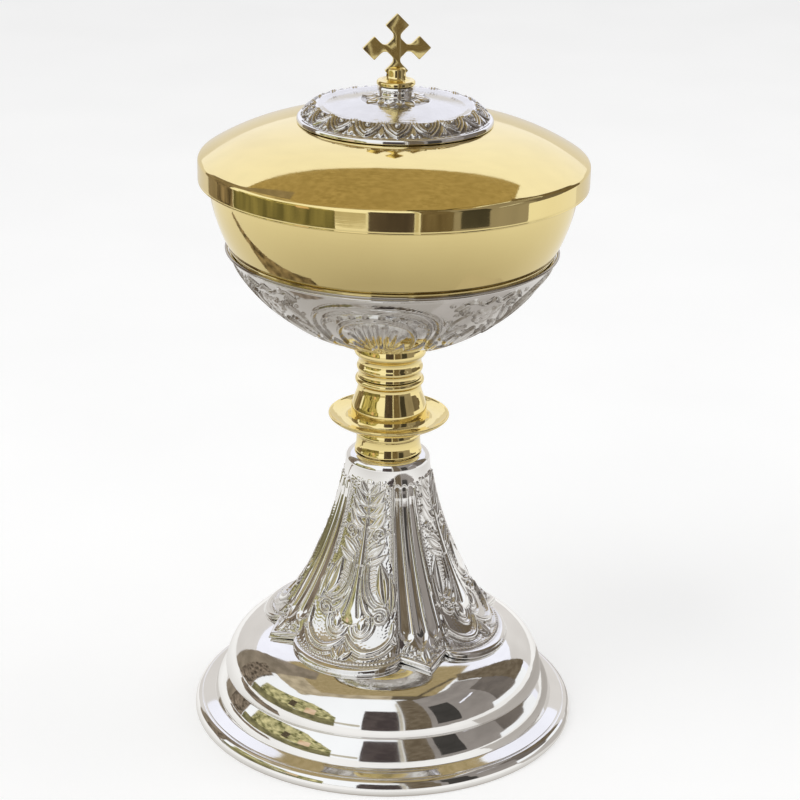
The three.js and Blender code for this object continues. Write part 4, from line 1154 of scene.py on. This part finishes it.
def cross_outline():
    """The cross in its own plane: diamond ends on short waisted necks, its lowest tip cut flat."""
    centre = cross_top - CROSS_REACH
    diamond = 4.2
    end = CROSS_REACH - diamond
    right = [(1.35, 3.4), (1.2, 4.2), (1.35, 5.0), (2.1, 5.95), (diamond, end)]
    left = [(-x, z) for x, z in right[::-1]]
    arm = [*right, (0, CROSS_REACH), *left]
    points = []
    for quarter in (3, 0, 1):
        angle = quarter * math.pi / 2
        points += [(x * math.cos(angle) - z * math.sin(angle), x * math.sin(angle) + z * math.cos(angle))
                   for x, z in arm]
    cut = cross_low - centre
    half = diamond - (-cut - end)
    points += [(-x, -z) for x, z in right] + [(-half, cut), (half, cut)] + [(-x, -z) for x, z in left]
    return [(x, z + centre) for x, z in points]


def cross():
    outline = soften(cross_outline(), 0.26, closed=True, turn=9, stride=1.2)
    work = bmesh.new()
    corners = [work.verts.new((x * MM, -CROSS_HALF * MM, z * MM)) for x, z in outline]
    face = work.faces.new(corners)
    made = bmesh.ops.extrude_face_region(work, geom=[face])
    moved = [v for v in made["geom"] if isinstance(v, bmesh.types.BMVert)]
    bmesh.ops.translate(work, vec=(0, 2 * CROSS_HALF * MM, 0), verts=moved)
    bmesh.ops.recalc_face_normals(work, faces=work.faces)
    rims = [e for e in work.edges if abs(e.verts[0].co.y - e.verts[1].co.y) < 1e-7]
    bmesh.ops.bevel(work, geom=rims, offset=0.28 * MM, segments=3, profile=0.5, affect="EDGES",
                    clamp_overlap=True)
    bmesh.ops.transform(work, matrix=Matrix.Rotation(CROSS_TURN, 4, "Z"), verts=work.verts)
    mesh = bpy.data.meshes.new("cross_bevelled")
    work.to_mesh(mesh)
    work.free()
    mesh.polygons.foreach_set("use_smooth", np.ones(len(mesh.polygons), bool))
    mesh.set_sharp_from_angle(angle=math.radians(40))
    add_piece(mesh, "cross", "lid", gilt_cross)


def lid_stud():
    low, top, radius = levels("lid_stud")
    rings = plain_rings([(radius - 0.5, low), (radius - 0.1, low + 0.3)], SMALL_SEGMENTS)
    rings += threaded(radius, low + 0.4, low + 6.0, pitch=0.7, depth=0.28)
    upper = [(radius, z) for z in np.linspace(low + 6.2, top - 0.4, 6)]
    rings += plain_rings([*upper, (radius - 0.3, top)], SMALL_SEGMENTS)
    mesh = capped_mesh("stud_threaded", np.array(rings), low, top)
    add_piece(mesh, "lid_stud", "lid", brass)


finial_collar()
finial_knob()
cross()
lid_stud()
washer("washer_lid", "lid_washer", "lid", STUD_HOLE)
nut("nut_lid", "lid_nut", "lid", 7.0, STUD_HOLE)


# Room: floor, lamps and the coloured cards that the polished metal reflects

def is_seen(tree, *kinds):
    """1 for rays of these kinds and 0 for all others."""
    path = node(tree, "ShaderNodeLightPath")
    total = path.outputs[kinds[0]]
    for kind in kinds[1:]:
        total = calc(tree, "MAXIMUM", total, path.outputs[kind])
    return total


def flat_mesh(name, corners, material):
    mesh = bpy.data.meshes.new(name)
    mesh.from_pydata(corners, [], [list(range(len(corners)))])
    mesh.materials.append(material)
    return mesh


FLOOR_RADIUS = 6
FLOOR_GLOW = 0.36
WORLD_LIGHT = 0.55


def floor():
    """Pale paper; to mirrored rays it shows a painted sheen, a glow that is dim head-on and near white at a
    low angle, in place of a satin table top.
    """
    material, tree, output = new_material("pale_floor")
    cloud = ranged(tree, noise(tree, 9.0), 0.0, 1.0)
    paper = mixed(tree, cloud, (0.80, 0.80, 0.80, 1), (0.77, 0.77, 0.77, 1))
    fibres = bump(tree, noise(tree, 700.0), 0.05, 0.0003)
    matt = node(tree, "ShaderNodeBsdfDiffuse", {"Color": paper, "Normal": fibres})
    glow = emission(tree, (1, 1, 1, 1), calc(tree, "MULTIPLY", is_seen(tree, "Is Camera Ray"), FLOOR_GLOW))
    both = node(tree, "ShaderNodeAddShader", {0: matt.outputs[0], 1: glow})
    # Painted sheen: the glow that mirrored rays see grows as the floor is seen more slantwise
    slant = node(tree, "ShaderNodeLayerWeight", {"Blend": 0.5}).outputs["Facing"]
    share = ranged(tree, slant, 0.0, 1.0, 0.1, 0.85)
    painted_sheen = mixed(tree, share, (0.47, 0.44, 0.40, 1), (1.0, 0.99, 0.97, 1))
    mirrored = is_seen(tree, "Is Glossy Ray", "Is Transmission Ray")
    mix = node(tree, "ShaderNodeMixShader", {0: mirrored, 1: both.outputs[0], 2: emission(tree, painted_sheen)})
    tree.links.new(mix.outputs[0], output.inputs[0])
    ring = [(*toward(math.degrees(a), FLOOR_RADIUS), 0) for a in azimuths(SMALL_SEGMENTS)]
    add_object("floor", flat_mesh("floor", ring, material))


def world():
    """Even soft light, shown as white to the camera and in mirrored rays."""
    made = bpy.data.worlds.new("studio")
    made.use_nodes = True
    bpy.context.scene.world = made
    tree = made.node_tree
    tree.nodes.clear()
    shown = is_seen(tree, "Is Camera Ray", "Is Glossy Ray", "Is Transmission Ray")
    tint = mixed(tree, is_seen(tree, "Is Camera Ray"), (1.04, 1.06, 1.08, 1), (1, 1, 1, 1))
    plain = node(tree, "ShaderNodeBackground", {"Color": (1, 1, 1, 1), "Strength": WORLD_LIGHT})
    white = node(tree, "ShaderNodeBackground", {"Color": tint, "Strength": 1.0})
    mix = node(tree, "ShaderNodeMixShader", {0: shown, 1: plain.outputs[0], 2: white.outputs[0]})
    output = node(tree, "ShaderNodeOutputWorld")
    tree.links.new(mix.outputs[0], output.inputs[0])


def glow_material(name, dark, light, scale):
    material, tree, output = new_material(name)
    cloud = ranged(tree, noise(tree, scale, 6.0), 0.0, 1.0, 0.35, 0.65)
    tree.links.new(emission(tree, mixed(tree, cloud, rgba(dark), rgba(light))), output.inputs[0])
    return material


def card(name, corners, material):
    """A flat coloured card that only reflections show."""
    thing = add_object(name, flat_mesh(name, corners, material))
    thing.visible_camera = False
    thing.visible_diffuse = False
    thing.visible_shadow = False
    thing.visible_volume_scatter = False


def wall(name, start, end, low, high, material):
    card(name, [(*start, low), (*end, low), (*end, high), (*start, high)], material)


def toward(azimuth, distance):
    a = math.radians(azimuth)
    return distance * math.sin(a), -distance * math.cos(a)


# Darker and lighter colour of each kind of card, and how fine its clouds are
GLOWS = {
    "roof": ((0.33, 0.255, 0.12), (0.47, 0.37, 0.20), 42.0),
    "roof_left": ((0.36, 0.30, 0.20), (0.62, 0.52, 0.36), 5.0),
    "beam": ((0.085, 0.065, 0.04), (0.15, 0.12, 0.08), 8.0),
    "wall": ((0.27, 0.245, 0.225), (0.34, 0.31, 0.285), 5.0),
    "dim_wall": ((0.12, 0.105, 0.095), (0.19, 0.165, 0.145), 6.0),
    "dark": ((0.065, 0.052, 0.05), (0.10, 0.08, 0.075), 14.0),
    "glass": ((0.045, 0.042, 0.038), (0.065, 0.06, 0.055), 6.0),
    "timber": ((0.13, 0.10, 0.065), (0.20, 0.16, 0.11), 18.0),
    "pillar": ((0.20, 0.165, 0.12), (0.34, 0.28, 0.21), 7.0),
    "earth": ((0.07, 0.055, 0.04), (0.34, 0.27, 0.20), 34.0),
    "grass": ((0.13, 0.12, 0.06), (0.30, 0.27, 0.13), 16.0),
    "leaves": ((0.10, 0.105, 0.03), (0.76, 0.69, 0.36), 26.0),
    "pale": ((0.50, 0.46, 0.36), (0.62, 0.57, 0.46), 7.0),
    "haze": ((0.99, 1.0, 1.10), (1.03, 1.04, 1.14), 3.0),
    "path": ((0.62, 0.40, 0.22), (0.86, 0.66, 0.48), 12.0),
    "low_haze": ((0.72, 0.69, 0.66), (0.80, 0.77, 0.74), 3.0),
    "floor_shade": ((0.46, 0.43, 0.40), (0.58, 0.545, 0.51), 4.0),
}

# Upright cards: kind, azimuths of both ends, then distance and lower and upper edge in metres
WALLS = (
    ("post", "timber", 15, 33, 0.61, 0.0, 1.19),
    ("wall_front", "wall", 33, 55, 0.61, 0.0, 1.1),
    ("wall_right", "wall", 55, 80, 0.61, 0.0, 1.1),
    ("wall_back", "wall", 80, 106, 0.61, 0.1, 1.1),
    ("wall_top", "beam", 33, 120, 0.61, 1.08, 1.2),
    ("window", "glass", 37, 54, 0.58, 0.05, 0.52),
    ("dim_wall", "dim_wall", 84, 107, 0.58, 0.11, 0.62),
    ("back_post", "timber", 107, 127, 0.58, 0.13, 1.0),
    ("left_pillar", "pillar", -104, -130, 0.6, 0.0, 1.19),
    ("left_shade", "earth", -100, -117, 0.57, 0.0, 0.42),
    ("garden_gap", "beam", -66, -61, 0.5, 0.12, 0.22),
    ("garden_path", "path", -53, -45, 0.5, 0.1, 0.19),
    ("ground_left", "grass", -100, -62, 0.62, 0.0, 0.12),
    ("ground_middle", "grass", -62, -31, 0.62, 0.0, 0.11),
    ("ground_front", "pale", -31, -14, 0.62, 0.05, 0.1),
    ("low_haze", "low_haze", 127, 150, 0.64, 0.0, 0.34),
    ("low_haze", "low_haze", 150, 180, 0.64, 0.0, 0.34),
    ("low_haze", "low_haze", 180, 210, 0.64, 0.0, 0.34),
    ("low_haze", "low_haze", 210, 230, 0.64, 0.0, 0.34),
    ("haze", "haze", 125, 155, 3.0, 0.02, 4.0),
    ("haze", "haze", 155, 205, 3.0, 0.02, 4.0),
    ("haze", "haze", 205, 235, 3.0, 0.02, 4.0),
)
CEILING = 1.2
FRONT = -0.6


def room_cards():
    """Porch roof, walls, a post, a window, a garden and sky, as flat cards round the object."""
    glow = {kind: glow_material("card_" + kind, *look) for kind, look in GLOWS.items()}

    def level_card(name, kind, outline, height):
        card(name, [(x, y, height) for x, y in outline], glow[kind])

    level_card("roof", "roof", [(-0.75, -0.35), (0.6, -0.35), (0.6, 0.73), (-0.75, 0.73)], CEILING)
    level_card("roof_left", "roof_left", [(-1.4, -0.52), (0.1, -0.53), (0.1, -0.35), (-0.75, -0.35),
                                          (-0.75, 0.73), (-1.4, 0.73)], CEILING)
    level_card("roof_right", "beam", [(0.1, -0.53), (0.6, -0.53), (0.6, -0.35), (0.1, -0.35)], CEILING)
    wall("front_dark", (-0.137, FRONT), (0.125, FRONT), 0.0, 0.5, glow["dark"])
    wall("edge_light", (0.128, FRONT), (0.152, FRONT), 0.0, 0.95, glow["pale"])
    for name, kind, start, end, distance, low, high in WALLS:
        wall(name, toward(start, distance), toward(end, distance), low, high, glow[kind])
    left, right = toward(60, 0.57), toward(79, 0.57)
    card("bar", [(*left, 0.36), (*right, 0.47), (*right, 0.50), (*left, 0.39)], glow["haze"])
    tree_tops = ((-31, 0.18), (-40, 0.30), (-52, 0.38), (-75, 0.33), (-93, 0.27))
    garden = [(*toward(a, 0.62), z) for a, z in ((-93, 0.1), (-31, 0.1), *tree_tops)]
    card("garden", garden, glow["leaves"])
    strip = [(-0.10, -0.065), (-0.155, -0.075), (-0.215, -0.02), (-0.30, 0.06), (-0.45, 0.215),
             (-0.43, 0.225), (-0.30, 0.10), (-0.20, 0.055), (-0.13, 0.0)]
    level_card("floor_strip", "earth", strip, 0.001)
    side = [(0.078, 50), (0.2, 55), (0.2, 90), (0.2, 125), (0.078, 130), (0.078, 90)]
    level_card("floor_shade", "floor_shade", [toward(a, r) for r, a in side], 0.001)


def lamp(name, place, size, power):
    data = bpy.data.lights.new(name, "AREA")
    data.shape = "DISK"
    data.size = size
    data.energy = power
    made = add_object(name, data)
    made.location = place
    made.rotation_euler = (Vector((0, 0, 0.1)) - Vector(place)).to_track_quat("-Z", "Y").to_euler()
    made.visible_glossy = False
    made.visible_camera = False


def camera():
    data = bpy.data.cameras.new("camera")
    data.lens = CAMERA_LENS
    data.sensor_width = CAMERA_SENSOR
    data.clip_start = 0.01
    made = add_object("camera", data)
    turn = Matrix((CAMERA_RIGHT, CAMERA_UP, CAMERA_BACK)).transposed().to_4x4()
    made.matrix_world = Matrix.Translation(Vector(CAMERA_PLACE) * MM) @ turn
    bpy.context.scene.camera = made


floor()
world()
room_cards()
lamp("soft_key", (-0.9, -0.7, 1.6), 1.2, 9.0)
lamp("soft_fill", (1.1, 0.3, 1.3), 1.0, 4.0)
camera()
bpy.context.scene.view_settings.view_transform = "Standard"
